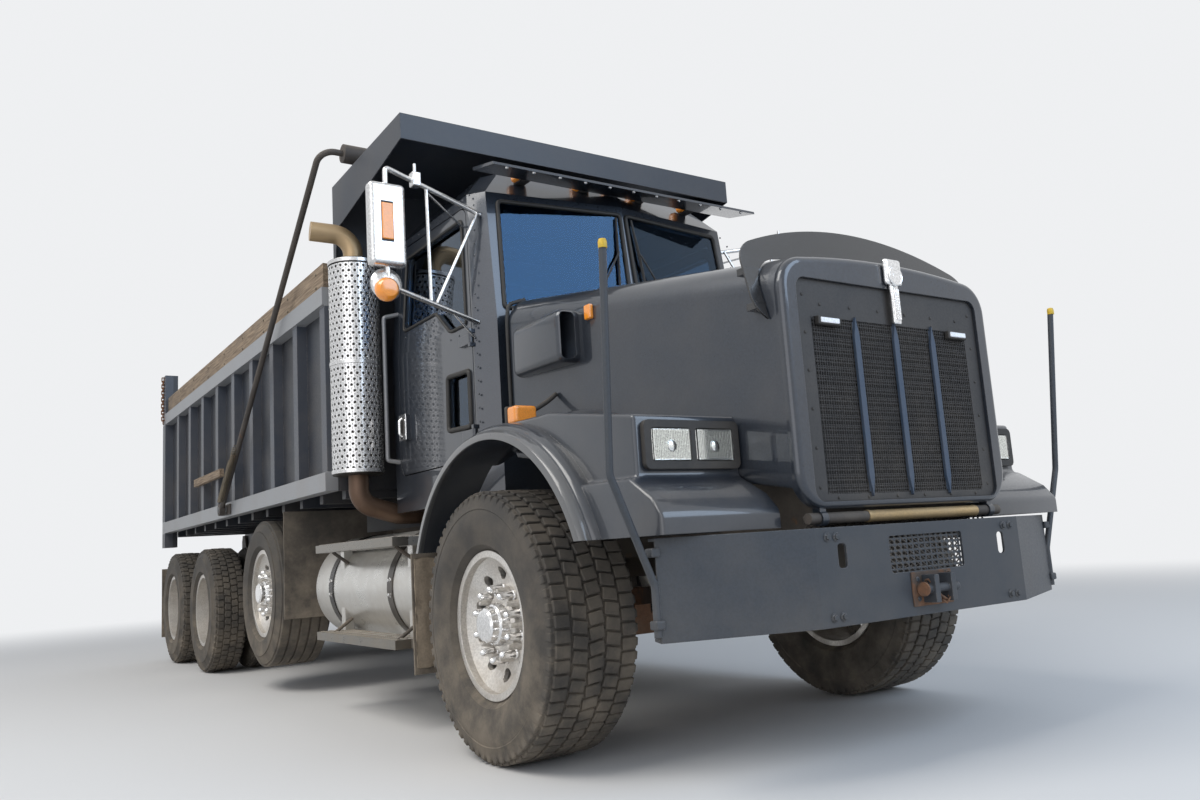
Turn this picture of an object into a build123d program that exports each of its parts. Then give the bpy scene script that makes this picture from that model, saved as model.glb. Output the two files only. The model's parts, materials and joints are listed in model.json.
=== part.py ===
"""A four-axle dump truck: cab and tilting hood, steel dump bed, lift axle and twin-tyred tandem.

The front of the truck faces -Y, +X is the truck's left side, Z is up and the tyres stand on Z = 0.
Places along the truck are counted from the steer axle and turned into Y by station().
"""
from build123d import *
from math import cos, radians, sin, sqrt, tan
import os

os.makedirs("parts", exist_ok=True)

# Axle places, counted back from the steer axle
LIFT_AT = 3411.0
DRIVE_AT = (5262.0, 6562.0)

# Tyres: outer radius, section width, tread width, half width of the rim
STEER_TYRE = {"radius": 549.0, "width": 422.0, "tread": 370.0, "rim": 156.0}
LIFT_TYRE = {"radius": 505.0, "width": 385.0, "tread": 320.0, "rim": 149.0}
DRIVE_TYRE = {"radius": 520.0, "width": 279.0, "tread": 216.0, "rim": 105.0}
STEER_TRACK = 2004.0
LIFT_TRACK = 2040.0
TWIN_TRACK = 1826.0
TWIN_SPACING = 335.0
LIFT_RAISE = 162.0
LIFT_DROP = 195.0

# Wheel rims and hubs
BEAD_SEAT = 286.0
RIM_WALL = 12.0
FLANGE_HEIGHT = 16.0
FLANGE_WIDTH = 10.0
DISC = 22.0
STUD_CIRCLE = 285.75 / 2
STUD_COUNT = 10
STUD_RADIUS = 16.5
HAND_HOLE_CIRCLE = 207.0
HAND_HOLE_RADIUS = 27.0
SPINDLE = 45.0
DRUM = 205.0
TREAD_GROOVE = 11.0
RUNNING_GAP = 0.5
SEAT_GAP = 0.3

# Frame
FRAME_TOP = 1050.0
FRAME_DEPTH = 270.0
FRAME_HALF = 432.0
RAIL_FLANGE = 85.0
RAIL_WALL = 10.0
FRAME_FRONT = -1165.0
FRAME_REAR = 7000.0
CROSS_AT = (1750.0, 2950.0, 3650.0, 4650.0, 5912.0, 6900.0)

# Rear end of the gearbox, and the room that the tilted prop shaft leaves there
GEARBOX_REAR = 1250.0
SHAFT_ROOM = 3.5

# Front springs
SPRING_X = 430.0
SPRING_HALF = 44.0
SPRING_REACH = 700.0

# Steering
KINGPIN_X = 800.0
KINGPIN = 24.0
STEER_ARM = 200.0

# Bumper
BUMPER_FRONT = -1282.0
BUMPER_LOW = 516.0
BUMPER_HIGH = 851.0
BUMPER_FLAT = 587.0
BUMPER_END_X = 1112.0
BUMPER_END_AT = -1078.0
BUMPER_WALL = 10.0
BUMPER_LIP = 85.0
CLEVIS_REACH = 62.0
CLEVIS_IN = 35.0
CLEVIS_OUT = 60.0
CLEVIS_PIN = 16.0
CLEVIS_Z = 610.0
POLE = 13.0
POLE_BEND_LOW = 700.0
POLE_BEND_X = 1272.0
POLE_BEND_HIGH = 1060.0
POLE_X = 1290.0
POLE_TOP_AT = -1150.0
POLE_TOP = 1812.0

# Hood
HOOD_FRONT = -1215.0
HOOD_REAR = 368.0
HOOD_HALF_FRONT = 600.0
HOOD_HALF_REAR = 800.0
HOOD_LOW_FRONT = 915.0
HOOD_LOW_REAR = 1205.0
HOOD_WALL = 12.0
HOOD_EDGE_FRONT = 1818.0
HOOD_EDGE_REAR = 2040.0
HOOD_CROWN_FRONT = 1862.0
HOOD_CROWN_REAR = 2120.0
HOOD_SHOULDER = 130.0
NOSE = 38.0
GRILLE_HALF = 528.0
GRILLE_LOW = 940.0
GRILLE_HIGH = 1752.0
MESH_HALF = 450.0
MESH_LOW = 966.0
MESH_HIGH = 1612.0
MESH_ROWS = 18
FIN_X = (-225.0, 0.0, 225.0)
DEFLECTOR_AT = -1205.0
LAMP_X = 850.0
LAMP_Z = 1170.0
LAMP_FACE = -980.0
LAMP_DEEP = 22.0
HOOD_PIVOT_AT = -1222.0
HOOD_PIVOT_Z = 884.0
HOOD_PIVOT = 20.0

# Fenders and wheel arch
ARCH_AT = -50.0
ARCH_Z = 560.0
ARCH = 742.0
FENDER_OUT = 1200.0
FLARE = 70.0
FENDER_LOW = 860.0
FENDER_BACK_IN = 926.0
# The fender's outline ahead of the arch: lamp brow, lamp face, ledge and front skirt
FENDER_NOSE = (
    (-430.0, 1366.0), (LAMP_FACE, 1276.0), (LAMP_FACE, 1060.0), (-1100.0, 985.0), (-1150.0, 925.0), (-1150.0, 860.0),
)

# Cab sections from floor to roof: height, front centre, half width at the windscreen corner,
# half width at the side, rear wall
CAB_SECTIONS = (
    (1100.0, 385.0, 800.0, 890.0, 1620.0),
    (2000.0, 385.0, 800.0, 890.0, 1620.0),
    (2680.0, 471.0, 788.0, 852.0, 1604.0),
    (2850.0, 600.0, 640.0, 700.0, 1500.0),
)
CAB_V = 100.0
CAB_PILLAR = 85.0
CAB_WALL = 50.0
DOOR_GAP = 6.0
GLASS = 6.0

# Door and windows in the side view: distance behind the steer axle and height
DOOR_OUTLINE = ((585.0, 1300.0), (1545.0, 1300.0), (1520.0, 2640.0), (668.0, 2625.0), (585.0, 2000.0))
DOOR_WINDOW = (
    (640.0, 1985.0), (830.0, 1985.0), (1010.0, 2130.0), (1455.0, 2130.0), (1430.0, 2560.0), (710.0, 2560.0),
)
PEEP_WINDOW = ((630.0, 1465.0), (890.0, 1475.0), (880.0, 1755.0), (630.0, 1745.0))
DOOR_CORNER = 70.0
DOOR_HINGE_AT = 575.0
DOOR_HINGE_X = 905.0
DOOR_HINGES = (1420.0, 1900.0)
KNUCKLE = 12.0
KNUCKLE_HALF = 25.0
DOOR_PIN = 6.0

VISOR_HALF = 868.0

# Cab inside and outside fittings
DASH_HALF = 780.0
WHEEL_X = 430.0
WHEEL_AT = 945.0
WHEEL_Z = 1955.0
WHEEL_RADIUS = 228.0
# Seat blocks: inner and outer X, front, rear, bottom, top
SEAT_BLOCKS = (
    (280.0, 580.0, 1080.0, 1400.0, 1150.0, 1400.0),
    (180.0, 680.0, 1000.0, 1500.0, 1400.0, 1540.0),
    (190.0, 670.0, 1420.0, 1540.0, 1540.0, 2200.0),
)
ROOF_LAMPS = (-560.0, -190.0, 0.0, 190.0, 560.0)
MIRROR_X = 1385.0
MIRROR_AT = 430.0

# Tanks and steps
TANK = 305.0
TANK_X = 790.0
TANK_Z = 690.0
TANK_FRONT = 960.0
TANK_REAR = 2480.0
TANK_STRAPS = (1250.0, 2190.0)
STEP_FRONT = 930.0
STEP_REAR = 2130.0
STEPS = ((405.0, 450.0, 1020.0, 1205.0), (905.0, 950.0, 1020.0, 1205.0))

# Exhaust
STACK = 140.0
STACK_X = 1085.0
STACK_AT = 1705.0
STACK_LOW = 1330.0
STACK_HIGH = 2590.0
STACK_TIP_Z = 2755.0

# Mud flaps: front face, inner edge, outer edge, bottom, top, top of the hanger on the rail
FLAP = 12.0
FLAP_HANGER = 32.0
FLAPS = (
    (730.0, 780.0, 1190.0, 300.0, 860.0, 860.0),
    (2840.0, 620.0, 1190.0, 500.0, 1200.0, 1040.0),
    (7130.0, 600.0, 1210.0, 220.0, 900.0, 900.0),
)

# Bed
BED_FRONT = 1864.0
BED_REAR = 7040.0
BED_HALF = 1225.0
BED_INNER = 1140.0
CROSS_COUNT = 13
FLOOR_END = 6930.0
CORNER_IN = 1105.0
BOARD_X = 1150.0
SILL_X = 390.0
SILL_HALF = 36.0
SILL_TOP = 1210.0
FLOOR_TOP = 1300.0
FLOOR_PLATE = 10.0
RAIL_LOW = (1256.0, 1366.0)
RAIL_TOP = (2365.0, 2475.0)
SIDE_SHEET = 8.0
POST_OUT = 1212.0
POST_COUNT = 9
POST_WIDTH = 90.0
BOARD_TOP = 2640.0
BOARD_THICK = 48.0
CORNER_TOP = 2880.0
CORNER_LOW = 1110.0
CORNER_LONG = 130.0
HINGE_AT = 6930.0
HINGE_Z = 1135.0
HINGE_PIN = 28.0

# Tailgate
GATE_HALF = 1085.0
GATE_FRONT = 6940.0
GATE_PIN_AT = 6992.0
GATE_LOW = 1290.0
GATE_HIGH = 2470.0
GATE_PIN_Z = 2580.0
GATE_PIN = 18.0
GATE_THICK = 70.0

# Cab protector over the roof
GUARD_FRONT = 826.0
GUARD_HALF = 1133.0
GUARD_TOP = 3150.0
GUARD_LIP = 142.0
GUARD_SHEET = 8.0

# Tarp bail
BAIL_AT = 4226.0
BAIL_Z = 1310.0
BAIL_X = 1275.0
BAIL_TUBE = 19.0
BAIL_PIN = 20.0
BAIL_TOP_AT = 1690.0
BAIL_TOP_Z = 3262.0

# Hoist
HOIST_FOOT = (4560.0, 840.0)
HOIST_EYE = (2900.0, 1150.0)
HOIST_STUB = 75.0
HOIST_EYE_HALF = 42.0
HOIST_LUG_IN = 50.0
HOIST_LUG_OUT = 72.0
HOIST_PIN = 25.0
HOIST_NECK = 38.0
HOIST_BARREL = 80.0
HOIST_ROD = 45.0

# Place of the steer axle: the truck's frame has its origin halfway between its two ends
REACH_FRONT = CLEVIS_REACH - BUMPER_FRONT
REACH_REAR = FLAPS[-1][0] + FLAP_HANGER
STEER_Y = (REACH_FRONT - REACH_REAR) / 2


def station(distance):
    """Y of a place that lies this far behind the steer axle."""
    return STEER_Y + distance


def block(x, y, z, mode=Mode.ADD):
    """A block between pairs of limits, with y counted from the steer axle."""
    middle = ((x[0] + x[1]) / 2, station((y[0] + y[1]) / 2), (z[0] + z[1]) / 2)
    with Locations(middle):
        Box(abs(x[1] - x[0]), abs(y[1] - y[0]), abs(z[1] - z[0]), mode=mode)


def rod(start, end, radius, mode=Mode.ADD):
    """A round bar from one point to another, both in frame coordinates."""
    start, end = Vector(*start), Vector(*end)
    with BuildSketch(Plane(origin=start, z_dir=end - start)) as section:
        Circle(radius)
    extrude(section.sketch, amount=(end - start).length, mode=mode)


def tube(points, radius, bend, mode=Mode.ADD):
    """A round bar bent along the points, with one bend radius."""
    with BuildLine() as path:
        FilletPolyline(*points, radius=bend)
    with BuildSketch(Plane(origin=path.line @ 0, z_dir=path.line % 0)) as section:
        Circle(radius)
    sweep(section.sketch, path=path.line, mode=mode)


def save(part, name):
    """Label a finished piece and write it to its own file."""
    part.label = name
    export_step(part, f"parts/{name}.step")


def side_plane(x):
    """The plane that looks at the truck's side: local x runs back, local y runs up."""
    return Plane(origin=(x, STEER_Y, 0), x_dir=(0, 1, 0), z_dir=(1, 0, 0))


def cross_plane(distance):
    """The plane across the truck: local x is X and local y is Z; it faces forward."""
    return Plane(origin=(0, station(distance), 0), x_dir=(1, 0, 0), z_dir=(0, -1, 0))


def wheel_plane(side, x, distance, z):
    """A plane through a wheel's axis: local x points outboard and local y is the radius."""
    return Plane(origin=(side * x, station(distance), z), x_dir=(side, 0, 0), z_dir=(0, -side, 0))


def disc_plane(side, x, distance, z):
    """A plane square to a wheel's axis that faces outboard."""
    return Plane(origin=(side * x, station(distance), z), x_dir=(0, side, 0), z_dir=(side, 0, 0))


SIDES = (("right", -1), ("left", 1))


# Wheels


def ring(inner, outer, low, high):
    """A sketch rectangle of a turned ring, from its radii and its reach along the axis."""
    with Locations(((low + high) / 2, (inner + outer) / 2)):
        Rectangle(high - low, outer - inner)


def tyre_body(side, x, distance, z, tyre, offsets=(0.0,)):
    """One tyre, or a pair of twins, turned about its axis."""
    half = tyre["width"] / 2
    tread = tyre["tread"] / 2
    crown = tyre["radius"]
    bead = tyre["rim"] - SEAT_GAP
    seat = BEAD_SEAT + SEAT_GAP
    lip = BEAD_SEAT + FLANGE_HEIGHT + 2
    widest = (seat + crown) / 2 - 10
    shoulder = crown - 34
    spin = Axis((side * x, station(distance), z), (1, 0, 0))
    with BuildPart() as body:
        for offset in offsets:
            plane = wheel_plane(side, x + offset, distance, z)
            with BuildSketch(plane):
                with BuildLine():
                    Polyline((-bead, lip), (-bead, seat), (bead, seat), (bead, lip))
                    ThreePointArc((bead, lip), (half, widest), (tread + 10, shoulder))
                    ThreePointArc((tread + 10, shoulder), (tread + 2, crown - 12), (tread - 16, crown - 3))
                    ThreePointArc((tread - 16, crown - 3), (0, crown), (16 - tread, crown - 3))
                    ThreePointArc((16 - tread, crown - 3), (-2 - tread, crown - 12), (-10 - tread, shoulder))
                    ThreePointArc((-10 - tread, shoulder), (-half, widest), (-bead, lip))
                make_face()
                with GridLocations(tread * 0.44, 1, 4, 1):
                    with Locations((0, crown)):
                        Rectangle(TREAD_GROOVE, 2 * TREAD_GROOVE, mode=Mode.SUBTRACT)
            revolve(axis=spin)
    return body.part


def barrel(center, half):
    """The rim's barrel with its two flanges."""
    end = half + FLANGE_WIDTH
    ring(BEAD_SEAT - RIM_WALL, BEAD_SEAT, center - end, center + end)
    for low, high in ((-end, -half), (half, end)):
        ring(BEAD_SEAT, BEAD_SEAT + FLANGE_HEIGHT, center + low, center + high)


def stud_ring(side, x, distance, z, face, reach):
    """Wheel nuts on the stud circle, standing out from the disc's face."""
    with BuildSketch(disc_plane(side, x + face, distance, z)) as nuts:
        with PolarLocations(STUD_CIRCLE, STUD_COUNT):
            Circle(STUD_RADIUS)
    extrude(nuts.sketch, amount=reach, taper=8)


def hand_holes(side, x, distance, z, low, high):
    """Round hand holes through the disc."""
    with BuildSketch(disc_plane(side, x + low, distance, z)) as holes:
        with PolarLocations(HAND_HOLE_CIRCLE, STUD_COUNT, start_angle=180 / STUD_COUNT):
            Circle(HAND_HOLE_RADIUS)
    extrude(holes.sketch, amount=high - low, mode=Mode.SUBTRACT)


def single_wheel(side, x, distance, z, tyre, face):
    """A single wheel with its hub and drum; face is the disc's outer face."""
    spin = Axis((side * x, station(distance), z), (1, 0, 0))
    plane = wheel_plane(side, x, distance, z)
    half = tyre["rim"]
    bore = SPINDLE + RUNNING_GAP
    with BuildPart() as body:
        with BuildSketch(plane):
            barrel(0, half)
            with BuildLine():
                Polyline(
                    (face - DISC, bore), (face, bore), (face, DRUM),
                    (half - 18, BEAD_SEAT - 6), (half - 46, BEAD_SEAT - 6), (face - DISC, DRUM), close=True,
                )
            make_face()
        revolve(axis=spin)
        hand_holes(side, x, distance, z, face - DISC - 20, face + 40)
        with BuildSketch(plane):
            with BuildLine():
                Polyline(
                    (face - 130, bore), (face + 60, bore), (face + 60, 0), (face + 92, 0), (face + 88, 62),
                    (face + 60, 76), (face + 26, 76), (face + 20, 118), (face - DISC, 118),
                    (face - DISC, 180), (face - 100, DRUM - 12), (face - 130, DRUM - 12), close=True,
                )
            make_face()
        revolve(axis=spin)
        stud_ring(side, x, distance, z, face - 1, 58)
    return body.part


def twin_wheel(side, x, distance, z, tyre, spacing):
    """Two dished wheels bolted back to back on one hub; x is the plane where the discs meet."""
    spin = Axis((side * x, station(distance), z), (1, 0, 0))
    plane = wheel_plane(side, x, distance, z)
    half = tyre["rim"]
    center = spacing / 2
    bore = SPINDLE + RUNNING_GAP
    edge = center - half - FLANGE_WIDTH
    with BuildPart() as body:
        with BuildSketch(plane):
            for sign in (-1, 1):
                barrel(sign * center, half)
                with BuildLine():
                    Polyline(
                        (0, bore), (sign * DISC, bore), (sign * DISC, DRUM + 22),
                        (sign * (edge + 40), BEAD_SEAT - 6), (sign * edge, BEAD_SEAT - 6),
                        (0, DRUM + 34), close=True,
                    )
                make_face()
        revolve(axis=spin)
        hand_holes(side, x, distance, z, -DISC - 20, DISC + 20)
        with BuildSketch(plane):
            with BuildLine():
                Polyline(
                    (-150, bore), (170, bore), (170, 0), (206, 0), (200, 78), (186, 100), (60, 100),
                    (54, 112), (DISC - 1, 112), (DISC - 1, 60), (-DISC, 60), (-DISC, 186), (-60, DRUM - 5),
                    (-150, DRUM - 5), close=True,
                )
            make_face()
        revolve(axis=spin)
        stud_ring(side, x, distance, z, DISC - 1, 62)
    return body.part


STEER_Z = STEER_TYRE["radius"]
LIFT_Z = LIFT_TYRE["radius"] + LIFT_RAISE
DRIVE_Z = DRIVE_TYRE["radius"]

for name, side in SIDES:
    save(tyre_body(side, STEER_TRACK / 2, 0, STEER_Z, STEER_TYRE), f"steer_tyre_{name}")
    save(single_wheel(side, STEER_TRACK / 2, 0, STEER_Z, STEER_TYRE, 92), f"steer_wheel_{name}")
    save(tyre_body(side, LIFT_TRACK / 2, LIFT_AT, LIFT_Z, LIFT_TYRE), f"lift_tyre_{name}")
    save(single_wheel(side, LIFT_TRACK / 2, LIFT_AT, LIFT_Z, LIFT_TYRE, 92), f"lift_wheel_{name}")
    for number, place in enumerate(DRIVE_AT, 1):
        twins = (-TWIN_SPACING / 2, TWIN_SPACING / 2)
        save(
            tyre_body(side, TWIN_TRACK / 2, place, DRIVE_Z, DRIVE_TYRE, twins),
            f"drive_tyres_{number}_{name}",
        )
        save(
            twin_wheel(side, TWIN_TRACK / 2, place, DRIVE_Z, DRIVE_TYRE, TWIN_SPACING),
            f"drive_wheels_{number}_{name}",
        )


# Frame: two channel rails, crossmembers and the hinge plates at the rear

with BuildPart() as frame:
    for _, side in SIDES:
        outer = side * FRAME_HALF
        inner = side * (FRAME_HALF - RAIL_WALL)
        lip = side * (FRAME_HALF - RAIL_FLANGE)
        block((inner, outer), (FRAME_FRONT, FRAME_REAR), (FRAME_TOP - FRAME_DEPTH, FRAME_TOP))
        for low in (FRAME_TOP - FRAME_DEPTH, FRAME_TOP - RAIL_WALL):
            block((lip, inner), (FRAME_FRONT, FRAME_REAR), (low, low + RAIL_WALL))
        with BuildSketch(side_plane(side * FRAME_HALF)):
            with BuildLine():
                Polyline(
                    (HINGE_AT - 150, FRAME_TOP - 120), (HINGE_AT - 60, HINGE_Z + 20),
                    (HINGE_AT - 40, HINGE_Z + 60), (HINGE_AT + 40, HINGE_Z + 60),
                    (HINGE_AT + 70, HINGE_Z), (HINGE_AT + 70, FRAME_TOP - 120), close=True,
                )
            make_face()
        extrude(amount=side * 20)
        rod(
            (side * (FRAME_HALF + 20), station(HINGE_AT), HINGE_Z),
            (side * (SILL_X - SILL_HALF - 30), station(HINGE_AT), HINGE_Z),
            HINGE_PIN,
        )
    for place in CROSS_AT:
        block(
            (-(FRAME_HALF - RAIL_WALL), FRAME_HALF - RAIL_WALL),
            (place - 35, place + 35),
            (FRAME_TOP - FRAME_DEPTH + RAIL_WALL, FRAME_TOP - FRAME_DEPTH + 120),
        )
    block((-(FRAME_HALF - RAIL_WALL), FRAME_HALF - RAIL_WALL), (FRAME_FRONT, FRAME_FRONT + 60), (800, 1030))
    for _, side in SIDES:
        block(
            (side * HOIST_LUG_IN, side * HOIST_LUG_OUT), (HOIST_FOOT[0] - 45, HOIST_FOOT[0] + 70),
            (HOIST_FOOT[1] - 45, HOIST_FOOT[1] + 45),
        )
        block(
            (side * 370, side * 400), (HOOD_PIVOT_AT + 10, FRAME_FRONT + 10), (HOOD_PIVOT_Z - 14, HOOD_PIVOT_Z + 14),
        )
    rod(
        (-HOIST_LUG_OUT, station(HOIST_FOOT[0]), HOIST_FOOT[1]),
        (HOIST_LUG_OUT, station(HOIST_FOOT[0]), HOIST_FOOT[1]), HOIST_PIN,
    )
    rod((-550, station(HOOD_PIVOT_AT), HOOD_PIVOT_Z), (550, station(HOOD_PIVOT_AT), HOOD_PIVOT_Z), HOOD_PIVOT)
save(frame.part, "frame")

# Front bumper with its mesh window, tow slots, clevis and guide poles

def bumper_outline(depth):
    """The bumper's bent plan, this deep from front to back, as corner points."""
    front = [
        (-BUMPER_END_X, BUMPER_END_AT), (-BUMPER_FLAT, BUMPER_FRONT),
        (BUMPER_FLAT, BUMPER_FRONT), (BUMPER_END_X, BUMPER_END_AT),
    ]
    back = [(x * (1 - 0.004 * depth / BUMPER_WALL), place + depth) for x, place in reversed(front)]
    return [(x, station(place)) for x, place in front + back]


with BuildPart() as front_bumper:
    for low, high, depth in (
        (BUMPER_LOW, BUMPER_HIGH, BUMPER_WALL),
        (BUMPER_LOW, BUMPER_LOW + BUMPER_WALL, BUMPER_LIP),
        (BUMPER_HIGH - BUMPER_WALL, BUMPER_HIGH, BUMPER_LIP),
    ):
        with BuildSketch(Plane.XY.offset(low)):
            with BuildLine():
                Polyline(*bumper_outline(depth), close=True)
            make_face()
        extrude(amount=high - low)
    with BuildSketch(cross_plane(BUMPER_FRONT - 20)):
        with Locations((0, 741)):
            RectangleRounded(425, 132, 12)
        for _, side in SIDES:
            with Locations((side * 460, 752)):
                RectangleRounded(44, 84, 14)
    extrude(amount=-60, mode=Mode.SUBTRACT)
    for row in range(6):
        height = 686 + row * 22
        block((-220, 220), (BUMPER_FRONT + 10, BUMPER_FRONT + 14), (height - 4, height + 4))
    for column in range(-6, 7):
        block((column * 34 - 4, column * 34 + 4), (BUMPER_FRONT + 10, BUMPER_FRONT + 14), (674, 808))
    for _, side in SIDES:
        block(
            (side * (FRAME_HALF - RAIL_FLANGE), side * FRAME_HALF),
            (BUMPER_FRONT + BUMPER_WALL, FRAME_FRONT), (790, BUMPER_HIGH - BUMPER_WALL),
        )
        block(
            (side * CLEVIS_IN, side * CLEVIS_OUT), (BUMPER_FRONT - CLEVIS_REACH, BUMPER_FRONT),
            (CLEVIS_Z - 50, CLEVIS_Z + 50),
        )
        tube(
            [
                (side * (BUMPER_END_X + 8), station(BUMPER_END_AT + 4), BUMPER_LOW + 20),
                (side * (BUMPER_END_X + 8), station(BUMPER_END_AT + 4), POLE_BEND_LOW),
                (side * POLE_BEND_X, station(BUMPER_END_AT), POLE_BEND_HIGH),
                (side * POLE_X, station(POLE_TOP_AT), POLE_TOP),
            ],
            POLE, 60,
        )
    rod((-95, station(BUMPER_FRONT - 38), CLEVIS_Z), (95, station(BUMPER_FRONT - 38), CLEVIS_Z), CLEVIS_PIN)
save(front_bumper.part, "front_bumper")

# Front axle: a dropped beam on two leaf springs, with an eye for each kingpin

EYE = 42.0
EYE_HALF = 55.0
YOKE = 26.0
with BuildPart() as front_axle:
    with BuildSketch(cross_plane(-40)) as beam:
        with BuildLine():
            Polyline(
                (-KINGPIN_X, STEER_Z - 35), (-620, STEER_Z - 40), (-500, STEER_Z - 110), (500, STEER_Z - 110),
                (620, STEER_Z - 40), (KINGPIN_X, STEER_Z - 35), (KINGPIN_X, STEER_Z + 35),
                (600, STEER_Z + 35), (480, STEER_Z - 20), (-480, STEER_Z - 20), (-600, STEER_Z + 35),
                (-KINGPIN_X, STEER_Z + 35), close=True,
            )
        make_face()
    extrude(beam.sketch, amount=-80)
    for _, side in SIDES:
        eye = Plane.XY.offset(STEER_Z - EYE_HALF)
        with BuildSketch(eye) as eye_sketch:
            with Locations((side * KINGPIN_X, station(0))):
                Circle(EYE)
        extrude(eye_sketch.sketch, amount=2 * EYE_HALF)
        with BuildSketch(eye) as bore_sketch:
            with Locations((side * KINGPIN_X, station(0))):
                Circle(KINGPIN + RUNNING_GAP)
        extrude(bore_sketch.sketch, amount=2 * EYE_HALF, mode=Mode.SUBTRACT)
        block(
            (side * (KINGPIN_X + 5), side * (KINGPIN_X + 120)), (-45, 45),
            (STEER_Z - EYE_HALF, STEER_Z + EYE_HALF), mode=Mode.SUBTRACT,
        )
        with BuildSketch(side_plane(side * (SPRING_X + SPRING_HALF))) as leaves:
            with BuildLine():
                ThreePointArc((-SPRING_REACH, 770), (0, STEER_Z + 96), (SPRING_REACH, 770))
                Line((SPRING_REACH, 770), (SPRING_REACH, 730))
                ThreePointArc((SPRING_REACH, 730), (0, STEER_Z + 20), (-SPRING_REACH, 730))
                Line((-SPRING_REACH, 730), (-SPRING_REACH, 770))
            make_face()
        extrude(leaves.sketch, amount=-side * 2 * SPRING_HALF)
        block(
            (side * (SPRING_X - SPRING_HALF), side * (SPRING_X + SPRING_HALF)), (-60, 60),
            (STEER_Z - 30, STEER_Z + 60),
        )
        for place in (-SPRING_REACH, SPRING_REACH):
            block(
                (side * (SPRING_X - SPRING_HALF), side * (SPRING_X + 20)), (place - 25, place + 25),
                (730, FRAME_TOP - FRAME_DEPTH - SEAT_GAP),
            )
save(front_axle.part, "front_axle")


# Steering knuckles: a yoke round the axle's eye, a spindle for the wheel and an arm for the tie rod


def knuckle_body(side):
    """A knuckle with its kingpin, spindle and steering arm."""
    inner = STEER_TRACK / 2 - KINGPIN_X
    with BuildPart() as body:
        pin = (side * KINGPIN_X, station(0), STEER_Z - EYE_HALF - YOKE)
        top = (side * KINGPIN_X, station(0), STEER_Z + EYE_HALF + YOKE)
        rod(pin, top, KINGPIN)
        for low in (STEER_Z - EYE_HALF - YOKE, STEER_Z + EYE_HALF + RUNNING_GAP):
            high = low + YOKE - RUNNING_GAP
            with BuildSketch(Plane.XY.offset(low)) as yoke:
                with Locations((side * KINGPIN_X, station(0))):
                    Circle(EYE)
                with Locations((side * (KINGPIN_X + 38), station(0))):
                    Rectangle(76, 2 * EYE)
            extrude(yoke.sketch, amount=high - low)
        block(
            (side * (KINGPIN_X + 50), side * (KINGPIN_X + 76)), (-EYE, EYE),
            (STEER_Z - EYE_HALF - YOKE, STEER_Z + EYE_HALF + YOKE),
        )
        spindle_end = KINGPIN_X + inner + 92 + 50
        rod(
            (side * (KINGPIN_X + 60), station(0), STEER_Z),
            (side * spindle_end, station(0), STEER_Z), SPINDLE,
        )
        arm_low = STEER_Z - EYE_HALF - YOKE
        with BuildSketch(Plane.XY.offset(arm_low)) as arm:
            with BuildLine():
                Polyline(
                    (side * (KINGPIN_X - 30), station(20)), (side * (KINGPIN_X + 20), station(30)),
                    (side * (KINGPIN_X - 28), station(STEER_ARM + 18)),
                    (side * (KINGPIN_X - 72), station(STEER_ARM + 6)), close=True,
                )
            make_face()
        extrude(arm.sketch, amount=YOKE - RUNNING_GAP)
    return body.part


for name, side in SIDES:
    save(knuckle_body(side), f"knuckle_{name}")

with BuildPart() as tie_rod:
    joint_x = KINGPIN_X - 50
    low = STEER_Z - EYE_HALF - YOKE - SEAT_GAP
    rod((-joint_x, station(STEER_ARM), low - 22), (joint_x, station(STEER_ARM), low - 22), 17)
    for _, side in SIDES:
        rod((side * joint_x, station(STEER_ARM), low - 44), (side * joint_x, station(STEER_ARM), low), 26)
save(tie_rod.part, "tie_rod")

# Engine, gearbox and radiator as one plain mass between the rails

with BuildPart() as engine_block:
    block((-340, 340), (-900, 250), (690, 1620))
    block((-300, 300), (250, GEARBOX_REAR), (690, 1040))
    for _, side in SIDES:
        for place in (-620, 1000):
            block(
                (side * 290, side * (FRAME_HALF - RAIL_WALL - SEAT_GAP)), (place, place + 110),
                (FRAME_TOP - FRAME_DEPTH + RAIL_WALL + SEAT_GAP, FRAME_TOP - FRAME_DEPTH + 80),
            )
    block((-335, 335), (-1040, -960), (905, 1060))
    block((-440, 440), (-1040, -960), (1056, 1640))
    block((-300, 300), (-960, -900), (1000, 1500))
save(engine_block.part, "engine_block")

# Drive axles, their rubber-sprung beams and the prop shafts

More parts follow.
